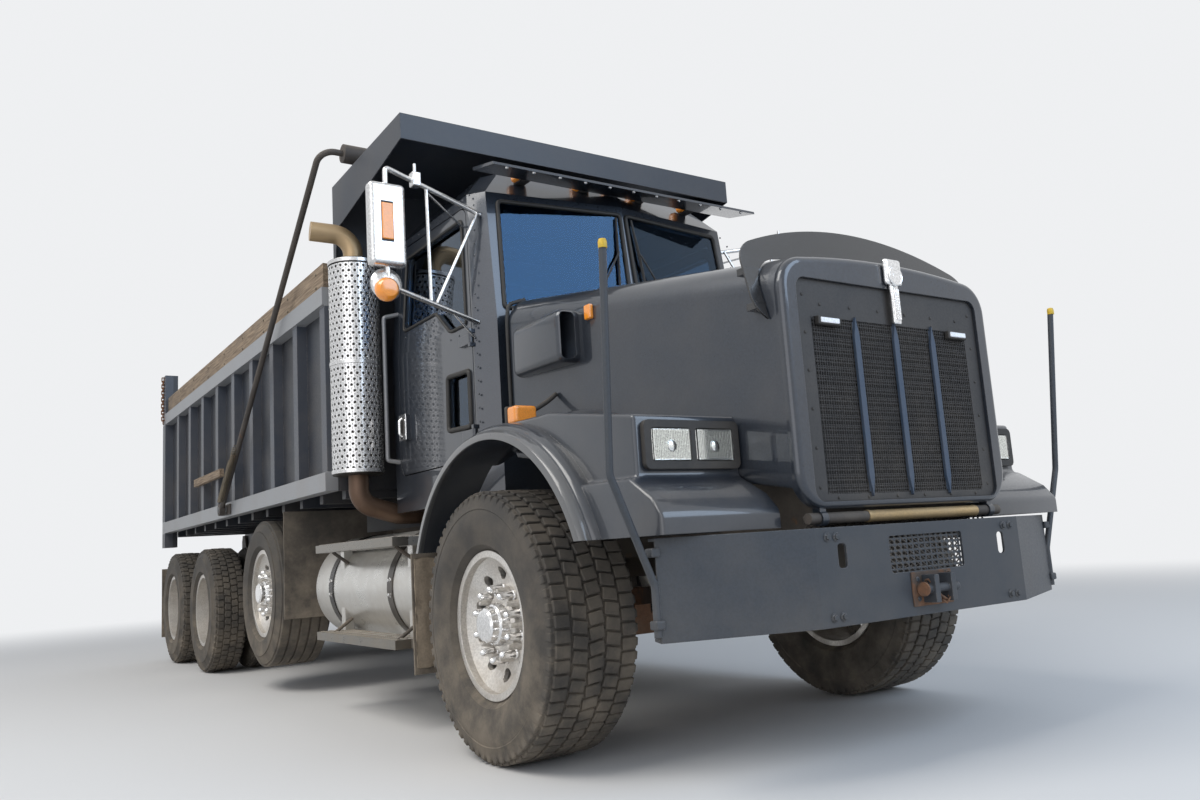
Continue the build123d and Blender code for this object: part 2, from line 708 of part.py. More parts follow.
with BuildPart() as drive_axles:
    for place in DRIVE_AT:
        for _, side in SIDES:
            rod(
                (0, station(place), DRIVE_Z),
                (side * (TWIN_TRACK / 2 - 160), station(place), DRIVE_Z), 70,
            )
            rod(
                (side * (TWIN_TRACK / 2 - 170), station(place), DRIVE_Z),
                (side * (TWIN_TRACK / 2 + 150), station(place), DRIVE_Z), SPINDLE,
            )
        with BuildSketch(Plane(origin=(0, station(place), DRIVE_Z), x_dir=(0, 1, 0), z_dir=(1, 0, 0))) as bowl:
            with BuildLine():
                Polyline(
                    (-130, 0), (-130, 120), (-60, 205), (60, 205), (110, 160), (130, 60), (130, 0), close=True,
                )
            make_face()
        revolve(bowl.sketch, axis=Axis((0, station(place), DRIVE_Z), (0, 1, 0)))
        rod((0, station(place - 300), DRIVE_Z + 20), (0, station(place), DRIVE_Z + 20), 85)
    rod((0, station(GEARBOX_REAR + SHAFT_ROOM), 740), (0, station(DRIVE_AT[0] - 290), DRIVE_Z + 20), 55)
    rod(
        (0, station(DRIVE_AT[0]), DRIVE_Z + 20),
        (0, station(DRIVE_AT[1] - 290), DRIVE_Z + 20), 55,
    )
    middle = sum(DRIVE_AT) / 2
    for _, side in SIDES:
        block(
            (side * 475, side * 545), (DRIVE_AT[0] - 90, DRIVE_AT[1] + 90), (DRIVE_Z - 140, DRIVE_Z - 40),
        )
        block((side * (FRAME_HALF + SEAT_GAP), side * 545), (middle - 220, middle + 220), (DRIVE_Z - 40, 900))
save(drive_axles.part, "drive_axles")

# Lift axle: a beam hung on trailing arms, raised on its air springs

with BuildPart() as lift_axle:
    for _, side in SIDES:
        tube(
            [
                (0, station(LIFT_AT), LIFT_Z - LIFT_DROP), (side * 300, station(LIFT_AT), LIFT_Z - LIFT_DROP),
                (side * 430, station(LIFT_AT), LIFT_Z), (side * 760, station(LIFT_AT), LIFT_Z),
            ],
            62, 80,
        )
        rod((side * 750, station(LIFT_AT), LIFT_Z), (side * (LIFT_TRACK / 2 + 140), station(LIFT_AT), LIFT_Z), SPINDLE)
        with BuildSketch(side_plane(side * 520)) as arm:
            with BuildLine():
                Polyline(
                    (LIFT_AT - 700, 760), (LIFT_AT - 640, 700), (LIFT_AT + 60, LIFT_Z - 75),
                    (LIFT_AT + 90, LIFT_Z + 40), (LIFT_AT - 620, 860), (LIFT_AT - 700, 860), close=True,
                )
            make_face()
        extrude(arm.sketch, amount=side * 50)
        block((side * (FRAME_HALF + SEAT_GAP), side * 570), (LIFT_AT - 720, LIFT_AT - 600), (740, 980))
        rod((side * 500, station(LIFT_AT + 60), LIFT_Z), (side * 500, station(LIFT_AT + 60), 930), 60)
save(lift_axle.part, "lift_axle")

# Fuel tanks with their straps and the cab steps carried on the tank brackets

with BuildPart() as fuel_tanks:
    for _, side in SIDES:
        rod((side * TANK_X, station(TANK_FRONT), TANK_Z), (side * TANK_X, station(TANK_REAR), TANK_Z), TANK)
        for place in TANK_STRAPS:
            rod((side * TANK_X, station(place - 35), TANK_Z), (side * TANK_X, station(place + 35), TANK_Z), TANK + 5)
            block(
                (side * (FRAME_HALF + SEAT_GAP), side * TANK_X), (place - 35, place + 35),
                (TANK_Z - TANK - 5, TANK_Z - TANK + 60),
            )
            block(
                (side * (FRAME_HALF + SEAT_GAP), side * (FRAME_HALF + 40)), (place - 35, place + 35),
                (TANK_Z - TANK - 5, FRAME_TOP - 40),
            )
        for low, high, inner, outer in STEPS:
            block((side * inner, side * outer), (STEP_FRONT, STEP_REAR), (low, high))
        for place in (STEP_FRONT + 60, STEP_REAR - 120):
            block((side * 1020, side * 1075), (place, place + 60), (STEPS[0][0], STEPS[1][1] - 10))
            block((side * 700, side * 1075), (place, place + 60), (STEPS[0][0], STEPS[0][1]))
save(fuel_tanks.part, "fuel_tanks")

# Exhaust stack with its perforated shield, bent tip and elbow

with BuildPart() as exhaust_stack:
    rod((-STACK_X, station(STACK_AT), STACK_LOW), (-STACK_X, station(STACK_AT), STACK_HIGH), STACK)
    tube(
        [
            (-STACK_X, station(STACK_AT), STACK_HIGH - 60), (-STACK_X, station(STACK_AT), STACK_TIP_Z),
            (-STACK_X - 240, station(STACK_AT + 45), STACK_TIP_Z + 15),
        ],
        57, 120,
    )
    tube(
        [
            (-STACK_X, station(STACK_AT), STACK_LOW + 60), (-STACK_X, station(STACK_AT), STACK_LOW - 160),
            (-STACK_X + 230, station(STACK_AT), STACK_LOW - 230), (-FRAME_HALF - 60, station(STACK_AT), STACK_LOW - 235),
        ],
        57, 110,
    )
    block((-FRAME_HALF - 80, -FRAME_HALF - SEAT_GAP), (STACK_AT - 40, STACK_AT + 40), (960, STACK_LOW - 180))
save(exhaust_stack.part, "exhaust_stack")

# Mud flaps: behind the steer wheels, ahead of the lift wheels and behind the tandem

with BuildPart() as mud_flaps:
    for _, side in SIDES:
        for place, inner, outer, low, high, hung in FLAPS:
            block((side * inner, side * outer), (place, place + FLAP), (low, high))
            block((side * (FRAME_HALF + SEAT_GAP), side * (inner + 30)), (place, place + FLAP_HANGER), (hung - 60, hung))
        last = FLAPS[-1]
        block(
            (side * (FRAME_HALF + SEAT_GAP), side * (FRAME_HALF + 20)),
            (FRAME_REAR - 110, last[0] + FLAP_HANGER), (last[5] - 60, last[5]),
        )
save(mud_flaps.part, "mud_flaps")


# Cab: one lofted shell whose doors and windows are cut from the same walls


def cab_loft(inset):
    """The cab's outer form, or the cavity inside its walls when inset."""
    with BuildPart() as body:
        for number, (height, front, corner, half, rear) in enumerate(CAB_SECTIONS):
            raised = {0: inset, len(CAB_SECTIONS) - 1: -inset}.get(number, 0)
            with BuildSketch(Plane.XY.offset(height + raised)):
                with BuildLine():
                    Polyline(
                        (0, station(front + inset)),
                        (corner - inset, station(front + CAB_V + inset)),
                        (half - inset, station(front + CAB_V + CAB_PILLAR + inset)),
                        (half - inset, station(rear - inset)),
                        (inset - half, station(rear - inset)),
                        (inset - half, station(front + CAB_V + CAB_PILLAR + inset)),
                        (inset - corner, station(front + CAB_V + inset)),
                        close=True,
                    )
                make_face()
        loft(ruled=True)
    return body.part


def side_outline(points, radius, inset=0.0):
    """A rounded outline in the truck's side view, from points of distance and height."""
    with BuildLine() as line:
        Polyline(*points, close=True)
    with BuildSketch() as outline:
        make_face(line.line.edges())
        fillet(outline.vertices(), radius)
        if inset:
            offset(amount=-inset, mode=Mode.REPLACE)
    return outline.sketch


def through(sketch, x_from, x_to, mode):
    """Cut or keep a side-view outline between two X values."""
    faces = [Plane((x_from, STEER_Y, 0), x_dir=(0, 1, 0), z_dir=(1, 0, 0)) * face for face in sketch.faces()]
    extrude(faces, amount=x_to - x_from, mode=mode)


cab_outer = cab_loft(0)
cab_cavity = cab_loft(CAB_WALL)
door_cut = side_outline(DOOR_OUTLINE, DOOR_CORNER)
door_form = side_outline(DOOR_OUTLINE, DOOR_CORNER, DOOR_GAP)
window_cut = side_outline(DOOR_WINDOW, 55)
peep_cut = side_outline(PEEP_WINDOW, 45)
DOOR_DEPTH = 220.0


def screen_cut(side, inset):
    """The opening of one half of the windscreen, square to its raked pane."""
    low, high = CAB_SECTIONS[1], CAB_SECTIONS[2]
    base = Vector(0, station(low[1]), low[0])
    corner = Vector(side * low[2], station(low[1] + CAB_V), low[0])
    top = Vector(0, station(high[1]), high[0])
    across = (corner - base).normalized()
    normal = across.cross(top - base).normalized() * side
    plane = Plane(origin=base, x_dir=across, z_dir=normal)
    reach = (corner - base).length
    tall = (top - base).length
    with BuildSketch(plane) as pane:
        with BuildLine():
            Polyline(
                (28 + inset, side * (45 + inset)), (reach - 45 - inset, side * (45 + inset)),
                (reach - 62 - inset, side * (tall - 50 - inset)), (28 + inset, side * (tall - 50 - inset)), close=True,
            )
        make_face()
        fillet(pane.vertices(), 40 - inset)
    return pane.sketch


REAR_WINDOW = (620.0, 1480.0, 2130.0, 2520.0)
with BuildPart() as cab_shell:
    add(cab_outer)
    add(cab_cavity, mode=Mode.SUBTRACT)
    for _, side in SIDES:
        through(door_cut, side * (CAB_SECTIONS[0][3] - DOOR_DEPTH), side * (CAB_SECTIONS[0][3] + 60), Mode.SUBTRACT)
        pane = screen_cut(side, 0)
        extrude(pane, amount=90, both=True, mode=Mode.SUBTRACT)
    block(
        (-REAR_WINDOW[0], REAR_WINDOW[0]), (REAR_WINDOW[1], REAR_WINDOW[1] + 300),
        (REAR_WINDOW[2], REAR_WINDOW[3]), mode=Mode.SUBTRACT,
    )
    roof = CAB_SECTIONS[2]
    with BuildSketch(side_plane(-VISOR_HALF)) as visor:
        with BuildLine():
            Polyline(
                (roof[1] - 150, roof[0] + 40), (roof[1] - 146, roof[0] + 55), (roof[1] + 70, roof[0] + 105),
                (roof[1] + 70, roof[0] + 88), close=True,
            )
        make_face()
    extrude(visor.sketch, amount=2 * VISOR_HALF)
    for _, side in SIDES:
        for height in DOOR_HINGES:
            axis = (side * DOOR_HINGE_X, station(DOOR_HINGE_AT))
            reach = KNUCKLE_HALF + 20
            rod((*axis, height - reach), (*axis, height + reach), DOOR_PIN)
            for end in (-1, 1):
                near, far = height + end * (KNUCKLE_HALF + RUNNING_GAP), height + end * reach
                block(
                    (side * (CAB_SECTIONS[0][3] - 4), side * (DOOR_HINGE_X + KNUCKLE)),
                    (DOOR_HINGE_AT - KNUCKLE, DOOR_HINGE_AT + 9), (near, far),
                )
        block(
            (side * (FRAME_HALF - 60), side * (FRAME_HALF + 20)), (520, 700), (FRAME_TOP + SEAT_GAP, CAB_SECTIONS[0][0]),
        )
        block(
            (side * (FRAME_HALF - 60), side * (FRAME_HALF + 20)), (1400, 1560), (FRAME_TOP + SEAT_GAP, CAB_SECTIONS[0][0]),
        )
save(cab_shell.part, "cab_shell")

with BuildPart() as cab_glass:
    for _, side in SIDES:
        pane = screen_cut(side, SEAT_GAP)
        extrude(pane, amount=-side * side * GLASS)
    block(
        (SEAT_GAP - REAR_WINDOW[0], REAR_WINDOW[0] - SEAT_GAP), (CAB_SECTIONS[2][4] - 34, CAB_SECTIONS[2][4] - 28),
        (REAR_WINDOW[2] + SEAT_GAP, REAR_WINDOW[3] - SEAT_GAP),
    )
save(cab_glass.part, "cab_glass")

for name, side in SIDES:
    near = side * (CAB_SECTIONS[0][3] - DOOR_DEPTH)
    far = side * (CAB_SECTIONS[0][3] + 60)
    with BuildPart() as door:
        add(cab_outer)
        add(cab_cavity, mode=Mode.SUBTRACT)
        through(door_form, near, far, Mode.INTERSECT)
        through(window_cut, near, far, Mode.SUBTRACT)
        if name == "right":
            through(peep_cut, near, far, Mode.SUBTRACT)
        block(
            (side * CAB_SECTIONS[0][3], side * (CAB_SECTIONS[0][3] + 28)), (1390, 1480), (1500, 1640),
        )
        for height in DOOR_HINGES:
            low, high = height - KNUCKLE_HALF, height + KNUCKLE_HALF
            axis = (side * DOOR_HINGE_X, station(DOOR_HINGE_AT))
            rod((*axis, low), (*axis, high), KNUCKLE)
            block((side * (DOOR_HINGE_X - 9), side * (DOOR_HINGE_X + 3)), (DOOR_HINGE_AT, DOOR_HINGE_AT + 130), (low, high))
            block(
                (side * (CAB_SECTIONS[0][3] - 4), side * DOOR_HINGE_X), (DOOR_HINGE_AT + 22, DOOR_HINGE_AT + 130),
                (low, high),
            )
            rod((*axis, low - 1), (*axis, high + 1), DOOR_PIN + RUNNING_GAP, mode=Mode.SUBTRACT)
    save(door.part, f"door_{name}")
    with BuildPart() as door_glass:
        with BuildPart(mode=Mode.PRIVATE) as skin:
            add(cab_loft(CAB_WALL / 2 - GLASS / 2))
            add(cab_loft(CAB_WALL / 2 + GLASS / 2), mode=Mode.SUBTRACT)
        add(skin.part)
        glass_form = side_outline(DOOR_WINDOW, 55, SEAT_GAP)
        if name == "right":
            glass_form = glass_form + side_outline(PEEP_WINDOW, 45, SEAT_GAP)
        through(glass_form, near, far, Mode.INTERSECT)
    save(door_glass.part, f"door_glass_{name}")

with BuildPart() as dashboard:
    with BuildSketch(side_plane(-DASH_HALF)) as dash:
        with BuildLine():
            Polyline((400, 1600), (400, 1960), (700, 1985), (820, 1900), (800, 1700), (690, 1600), close=True)
        make_face()
    extrude(dash.sketch, amount=2 * DASH_HALF)
    add(cab_loft(CAB_WALL + SEAT_GAP), mode=Mode.INTERSECT)
    wheel_center = (WHEEL_X, station(WHEEL_AT), WHEEL_Z)
    rod((WHEEL_X, station(780), 1780), wheel_center, 28)
    wheel_tilt = Plane(origin=wheel_center, z_dir=(0, 0.78, 0.62))
    with BuildSketch(wheel_tilt) as rim_ring:
        Circle(WHEEL_RADIUS)
        Circle(WHEEL_RADIUS - 32, mode=Mode.SUBTRACT)
        for turn in (90, 210, 330):
            with Locations(Location((0, 0, 0), (0, 0, turn))):
                with Locations((WHEEL_RADIUS / 2, 0)):
                    Rectangle(WHEEL_RADIUS - 20, 34)
        Circle(52)
    extrude(rim_ring.sketch, amount=22)
save(dashboard.part, "dashboard")

with BuildPart() as seats:
    for _, side in SIDES:
        for low_x, high_x, front, back, low, high in SEAT_BLOCKS:
            block((side * low_x, side * high_x), (front, back), (low, high))
save(seats.part, "seats")

with BuildPart() as roof_lamps:
    for x in ROOF_LAMPS:
        block((x - 52, x + 52), (525, 640), (2770, 2838))
    add(cab_outer, mode=Mode.SUBTRACT)
    block((-VISOR_HALF - 1, VISOR_HALF + 1), (300, 560), (2600, 2800), mode=Mode.SUBTRACT)
save(roof_lamps.part, "roof_lamps")

with BuildPart() as mirrors:
    for _, side in SIDES:
        tube(
            [
                (side * 820, station(592), 2560), (side * MIRROR_X, station(MIRROR_AT), 2650),
                (side * MIRROR_X, station(MIRROR_AT), 2080), (side * 866, station(552), 1975),
            ],
            12, 45,
        )
        block((side * (MIRROR_X - 90), side * (MIRROR_X + 90)), (MIRROR_AT - 30, MIRROR_AT + 40), (2165, 2570))
        rod(
            (side * MIRROR_X, station(MIRROR_AT - 20), 2090), (side * MIRROR_X, station(MIRROR_AT + 30), 2090), 75,
        )
    add(cab_outer, mode=Mode.SUBTRACT)
save(mirrors.part, "mirrors")


# Hood, fenders and what they carry


def hood_section(distance, inset, drop=0.0):
    """The hood's cross-section at a place, as a face; its sides are flat and its top is crowned."""
    share = (distance - HOOD_FRONT) / (HOOD_REAR - HOOD_FRONT)
    half = HOOD_HALF_FRONT + share * (HOOD_HALF_REAR - HOOD_HALF_FRONT) - inset
    low = HOOD_LOW_FRONT + share * (HOOD_LOW_REAR - HOOD_LOW_FRONT) - drop
    edge = HOOD_EDGE_FRONT + share * (HOOD_EDGE_REAR - HOOD_EDGE_FRONT) - inset
    crown = HOOD_CROWN_FRONT + share * (HOOD_CROWN_REAR - HOOD_CROWN_FRONT) - inset
    with BuildSketch(cross_plane(distance)) as section:
        with BuildLine():
            Polyline((-half, edge), (-half, low), (half, low), (half, edge))
            ThreePointArc((half, edge), (0, crown), (-half, edge))
        make_face()
        fillet(section.vertices().group_by(Axis.Z)[-1], HOOD_SHOULDER - inset)
    return section.sketch


with BuildPart() as hood_shell:
    loft([hood_section(HOOD_FRONT, 0), hood_section(HOOD_REAR, 0)])
    extrude(hood_section(HOOD_FRONT, 0), amount=NOSE)
    nose_edges = hood_shell.edges().group_by(Axis.Y)[0]
    fillet(nose_edges, 26)
    loft(
        [hood_section(HOOD_FRONT + HOOD_WALL, HOOD_WALL, 100), hood_section(HOOD_REAR + 60, HOOD_WALL, 100)],
        mode=Mode.SUBTRACT,
    )
    with BuildSketch(cross_plane(HOOD_FRONT + HOOD_WALL + 60)) as mouth:
        with Locations((0, (GRILLE_LOW + GRILLE_HIGH) / 2)):
            RectangleRounded(2 * GRILLE_HALF, GRILLE_HIGH - GRILLE_LOW, 45)
    extrude(mouth.sketch, amount=200, mode=Mode.SUBTRACT)
    for _, side in SIDES:
        with BuildSketch(side_plane(side * 450)) as arch:
            with Locations((ARCH_AT, ARCH_Z)):
                Circle(ARCH - 40)
        extrude(arch.sketch, amount=side * 500, mode=Mode.SUBTRACT)
        block((side * 470, side * 500), (HOOD_PIVOT_AT - 14, HOOD_PIVOT_AT + 22), (HOOD_PIVOT_Z, GRILLE_LOW - 6))
        rod(
            (side * 470, station(HOOD_PIVOT_AT), HOOD_PIVOT_Z), (side * 500, station(HOOD_PIVOT_AT), HOOD_PIVOT_Z), 27,
        )
        rod(
            (side * 460, station(HOOD_PIVOT_AT), HOOD_PIVOT_Z), (side * 510, station(HOOD_PIVOT_AT), HOOD_PIVOT_Z),
            HOOD_PIVOT + RUNNING_GAP, mode=Mode.SUBTRACT,
        )
save(hood_shell.part, "hood_shell")

with BuildPart() as fenders:
    for _, side in SIDES:
        outer_ring = ARCH + FLARE
        with BuildPart(mode=Mode.PRIVATE) as fender:
            with BuildSketch(side_plane(0)) as shape:
                with BuildLine():
                    start = (ARCH_AT + sqrt(outer_ring**2 - (FENDER_LOW - ARCH_Z) ** 2), FENDER_LOW)
                    middle = (
                        ARCH_AT + outer_ring * cos(radians(52)), ARCH_Z + outer_ring * sin(radians(52)),
                    )
                    ThreePointArc(start, middle, (ARCH_AT, ARCH_Z + outer_ring))
                    Polyline((ARCH_AT, ARCH_Z + outer_ring), *FENDER_NOSE, start)
                make_face()
            extrude(shape.sketch, amount=side * FENDER_OUT)
            with BuildSketch(Plane.XY.offset(FENDER_LOW - 10)) as plan:
                with BuildLine():
                    slope = (HOOD_HALF_REAR - HOOD_HALF_FRONT) / (HOOD_REAR - HOOD_FRONT)
                    inner_front = HOOD_HALF_FRONT + slope * (FENDER_NOSE[-1][0] - HOOD_FRONT) + SEAT_GAP
                    Polyline(
                        (side * inner_front, station(FENDER_NOSE[-1][0] - 5)),
                        (side * (HOOD_HALF_REAR + SEAT_GAP), station(HOOD_REAR)),
                        (side * FENDER_BACK_IN, station(HOOD_REAR)),
                        (side * FENDER_BACK_IN, station(800)),
                        (side * FENDER_OUT, station(800)), (side * FENDER_OUT, station(-860)),
                        (side * 1130, station(FENDER_NOSE[-1][0] - 5)), close=True,
                    )
                make_face()
            extrude(plan.sketch, amount=700, mode=Mode.INTERSECT)
            with BuildSketch(side_plane(0)) as arch:
                with Locations((ARCH_AT, ARCH_Z)):
                    Circle(ARCH)
            extrude(arch.sketch, amount=side * 1300, mode=Mode.SUBTRACT)
        add(fender.part)
save(fenders.part, "fenders")

with BuildPart() as grille:
    with BuildSketch(cross_plane(HOOD_FRONT - NOSE + 22)) as panel:
        with Locations((0, (GRILLE_LOW + GRILLE_HIGH) / 2)):
            RectangleRounded(2 * (GRILLE_HALF - SEAT_GAP), GRILLE_HIGH - GRILLE_LOW - 2 * SEAT_GAP, 45 - SEAT_GAP)
        with Locations((0, (MESH_LOW + MESH_HIGH) / 2)):
            RectangleRounded(2 * MESH_HALF, MESH_HIGH - MESH_LOW, 20, mode=Mode.SUBTRACT)
    extrude(panel.sketch, amount=8)
    pitch = (MESH_HIGH - MESH_LOW) / MESH_ROWS
    for row in range(1, MESH_ROWS):
        height = MESH_LOW + row * pitch
        block((-MESH_HALF - 4, MESH_HALF + 4), (HOOD_FRONT - 22, HOOD_FRONT - 16), (height - 5, height + 5))
    for column in range(-8, 9):
        x = column * 2 * MESH_HALF / 18
        block((x - 3, x + 3), (HOOD_FRONT - 20, HOOD_FRONT - 16), (MESH_LOW - 4, MESH_HIGH + 4))
    for x in FIN_X:
        with BuildSketch(cross_plane(HOOD_FRONT - 24)) as fin:
            with BuildLine():
                Polyline(
                    (x, MESH_LOW - 12), (x + 14, MESH_LOW + 60), (x + 14, MESH_HIGH - 60), (x, MESH_HIGH + 12),
                    (x - 14, MESH_HIGH - 60), (x - 14, MESH_LOW + 60), close=True,
                )
            make_face()
        extrude(fin.sketch, amount=12)
        block((x - 9, x + 9), (HOOD_FRONT - 26, HOOD_FRONT - 18), (MESH_LOW + 5, MESH_HIGH - 5))
save(grille.part, "grille")

with BuildPart() as headlamps:
    for _, side in SIDES:
        with BuildSketch(cross_plane(LAMP_FACE - SEAT_GAP)) as bezel:
            with Locations((side * LAMP_X, LAMP_Z)):
                RectangleRounded(430, 172, 24)
            for shift in (-98, 98):
                with Locations((side * LAMP_X + shift, LAMP_Z)):
                    RectangleRounded(176, 116, 14, mode=Mode.SUBTRACT)
        extrude(bezel.sketch, amount=LAMP_DEEP)
        for shift in (-98, 98):
            block(
                (side * LAMP_X + shift - 89, side * LAMP_X + shift + 89), (LAMP_FACE - 14, LAMP_FACE - SEAT_GAP),
                (LAMP_Z - 59, LAMP_Z + 59),
            )
        block((side * 930, side * 1030), (-60, 20), (ARCH_Z + ARCH + FLARE + SEAT_GAP, ARCH_Z + ARCH + FLARE + 80))
save(headlamps.part, "headlamps")

with BuildPart() as bug_deflector:
    lean = Plane(origin=(0, station(DEFLECTOR_AT), 1500), x_dir=(1, 0, 0), z_dir=(0, -cos(radians(14)), sin(radians(14))))
    with BuildSketch(lean) as shield:
        with BuildLine():
            Polyline((-668, 400), (-668, 90), (668, 90), (668, 400))
            ThreePointArc((668, 400), (0, 540), (-668, 400))
        make_face()
        fillet(shield.vertices().group_by(Axis.Z)[-1], 110)
    extrude(shield.sketch, amount=8)
    loft([hood_section(HOOD_FRONT, -6), hood_section(HOOD_REAR, -6)], mode=Mode.SUBTRACT)
    with BuildSketch(cross_plane(HOOD_FRONT + 5)) as nose_room:
        add(hood_section(HOOD_FRONT, -6))
    extrude(nose_room.sketch, amount=120, mode=Mode.SUBTRACT)
    for _, side in SIDES:
        for height in (1640, 1780):
            place = DEFLECTOR_AT + (height - 1500) * tan(radians(14))
            block((side * 560, side * 650), (place - 4, place + 50), (height, height + 26))
    loft(
        [hood_section(HOOD_FRONT, -SEAT_GAP), hood_section(HOOD_REAR, -SEAT_GAP)], mode=Mode.SUBTRACT,
    )
save(bug_deflector.part, "bug_deflector")

# Dump bed

with BuildPart() as bed_floor:
    for _, side in SIDES:
        low_x, high_x = side * (SILL_X - SILL_HALF), side * (SILL_X + SILL_HALF)
        block((low_x, high_x), (BED_FRONT + 20, HINGE_AT), (FRAME_TOP + SEAT_GAP, SILL_TOP))
        round_end = HINGE_Z - FRAME_TOP - SEAT_GAP
        rod((low_x, station(HINGE_AT), HINGE_Z), (high_x, station(HINGE_AT), HINGE_Z), round_end)
        block((low_x, high_x), (HINGE_AT - 10, HINGE_AT + 60), (HINGE_Z + 20, SILL_TOP))
        rod(
            (side * (SILL_X - SILL_HALF - 5), station(HINGE_AT), HINGE_Z),
            (side * (SILL_X + SILL_HALF + 5), station(HINGE_AT), HINGE_Z), HINGE_PIN + RUNNING_GAP, mode=Mode.SUBTRACT,
        )
    span = HINGE_AT - BED_FRONT - 80
    for number in range(CROSS_COUNT):
        place = BED_FRONT + 50 + number * span / (CROSS_COUNT - 1)
        block((5 - CORNER_IN, CORNER_IN - 5), (place - 30, place + 30), (SILL_TOP, FLOOR_TOP - FLOOR_PLATE))
    for half, front, back in (
        (BED_INNER - SEAT_GAP, BED_FRONT + 8 + SEAT_GAP, BED_REAR - CORNER_LONG - SEAT_GAP),
        (CORNER_IN - SEAT_GAP, BED_REAR - CORNER_LONG - SEAT_GAP, FLOOR_END),
    ):
        block((-half, half), (front, back), (FLOOR_TOP - FLOOR_PLATE, FLOOR_TOP))
    for _, side in SIDES:
        block(
            (side * HOIST_LUG_IN, side * HOIST_LUG_OUT), (HOIST_EYE[0] - 60, HOIST_EYE[0] + 60),
            (HOIST_EYE[1] - 50, FLOOR_TOP - FLOOR_PLATE),
        )
    rod(
        (-HOIST_LUG_OUT, station(HOIST_EYE[0]), HOIST_EYE[1]),
        (HOIST_LUG_OUT, station(HOIST_EYE[0]), HOIST_EYE[1]), HOIST_PIN,
    )
save(bed_floor.part, "bed_floor")

with BuildPart() as bed_sides:
    for _, side in SIDES:
        sheet = side * (BED_INNER + SIDE_SHEET)
        block((side * BED_INNER, sheet), (BED_FRONT, BED_REAR - CORNER_LONG), (RAIL_LOW[0], RAIL_TOP[1]))
        for low, high in (RAIL_LOW, RAIL_TOP):
            block((sheet, side * BED_HALF), (BED_FRONT, BED_REAR - CORNER_LONG), (low, high))
        clear = BED_REAR - CORNER_LONG - BED_FRONT
        for number in range(POST_COUNT):
            place = BED_FRONT + POST_WIDTH / 2 + number * (clear - POST_WIDTH) / POST_COUNT
            block(
                (sheet, side * POST_OUT), (place - POST_WIDTH / 2, place + POST_WIDTH / 2), (RAIL_LOW[1], RAIL_TOP[0]),
            )
        block((side * CORNER_IN, side * BED_HALF), (BED_REAR - CORNER_LONG, BED_REAR), (CORNER_LOW, CORNER_TOP))
        rod(
            (side * CORNER_IN, station(GATE_PIN_AT), GATE_PIN_Z),
            (side * (CORNER_IN - 55), station(GATE_PIN_AT), GATE_PIN_Z), GATE_PIN,
        )
        rod(
            (side * BED_HALF, station(BAIL_AT), BAIL_Z), (side * (BAIL_X + 26), station(BAIL_AT), BAIL_Z), BAIL_PIN,
        )
save(bed_sides.part, "bed_sides")

with BuildPart() as headboard:
    block((SEAT_GAP - BED_INNER, BED_INNER - SEAT_GAP), (BED_FRONT, BED_FRONT + 8), (RAIL_LOW[0], RAIL_TOP[1]))
    block((-GUARD_HALF, GUARD_HALF), (BED_FRONT, BED_FRONT + 8), (RAIL_TOP[1], GUARD_TOP - 30))
    for _, side in SIDES:
        with BuildSketch(side_plane(side * GUARD_HALF)) as cheek:
            with BuildLine():
                Polyline(
                    (GUARD_FRONT, GUARD_TOP), (BED_FRONT + 45, GUARD_TOP - 22), (BED_FRONT + 45, RAIL_TOP[1] + 20),
                    (BED_FRONT, RAIL_TOP[1] + 20), (BED_FRONT, 2700), (BED_FRONT - 40, 2842),
                    (BED_FRONT - 120, 2850), (GUARD_FRONT, GUARD_TOP - GUARD_LIP),
                    close=True,
                )
            make_face()
        extrude(cheek.sketch, amount=-side * GUARD_SHEET)
    with BuildSketch(side_plane(-GUARD_HALF)) as canopy:
        with BuildLine():
            Polyline(
                (GUARD_FRONT, GUARD_TOP), (BED_FRONT + 45, GUARD_TOP - 22), (BED_FRONT + 45, GUARD_TOP - 30),
                (GUARD_FRONT + 8, GUARD_TOP - 8), (GUARD_FRONT + 8, GUARD_TOP - GUARD_LIP),
                (GUARD_FRONT, GUARD_TOP - GUARD_LIP), close=True,
            )
        make_face()
    extrude(canopy.sketch, amount=2 * GUARD_HALF)
save(headboard.part, "headboard")

with BuildPart() as sideboards:
    for _, side in SIDES:
        block(
            (side * BOARD_X, side * (BOARD_X + BOARD_THICK)), (BED_FRONT + 50, BED_REAR - CORNER_LONG - 8),
            (RAIL_TOP[1] + SEAT_GAP, BOARD_TOP),
        )
save(sideboards.part, "sideboards")

with BuildPart() as tailgate:
    block((-GATE_HALF, GATE_HALF), (GATE_FRONT, GATE_FRONT + 8), (GATE_LOW, GATE_HIGH))
    for low, high in ((GATE_LOW, GATE_LOW + 90), (GATE_HIGH - 90, GATE_HIGH)):
        block((-GATE_HALF, GATE_HALF), (GATE_FRONT + 8, GATE_FRONT + GATE_THICK), (low, high))
    for number in range(6):
        x = (number - 2.5) * (2 * GATE_HALF - 80) / 5
        block((x - 40, x + 40), (GATE_FRONT + 8, GATE_FRONT + GATE_THICK), (GATE_LOW + 90, GATE_HIGH - 90))
    for _, side in SIDES:
        near, far = side * (CORNER_IN - 48), side * (CORNER_IN - 20)
        block((near, far), (GATE_PIN_AT - 34, GATE_PIN_AT + 10), (GATE_HIGH - 90, GATE_PIN_Z))
        rod((near, station(GATE_PIN_AT), GATE_PIN_Z), (far, station(GATE_PIN_AT), GATE_PIN_Z), 34)
        rod(
            (side * (CORNER_IN - 60), station(GATE_PIN_AT), GATE_PIN_Z),
            (side * (CORNER_IN - 10), station(GATE_PIN_AT), GATE_PIN_Z), GATE_PIN + RUNNING_GAP, mode=Mode.SUBTRACT,
        )
save(tailgate.part, "tailgate")

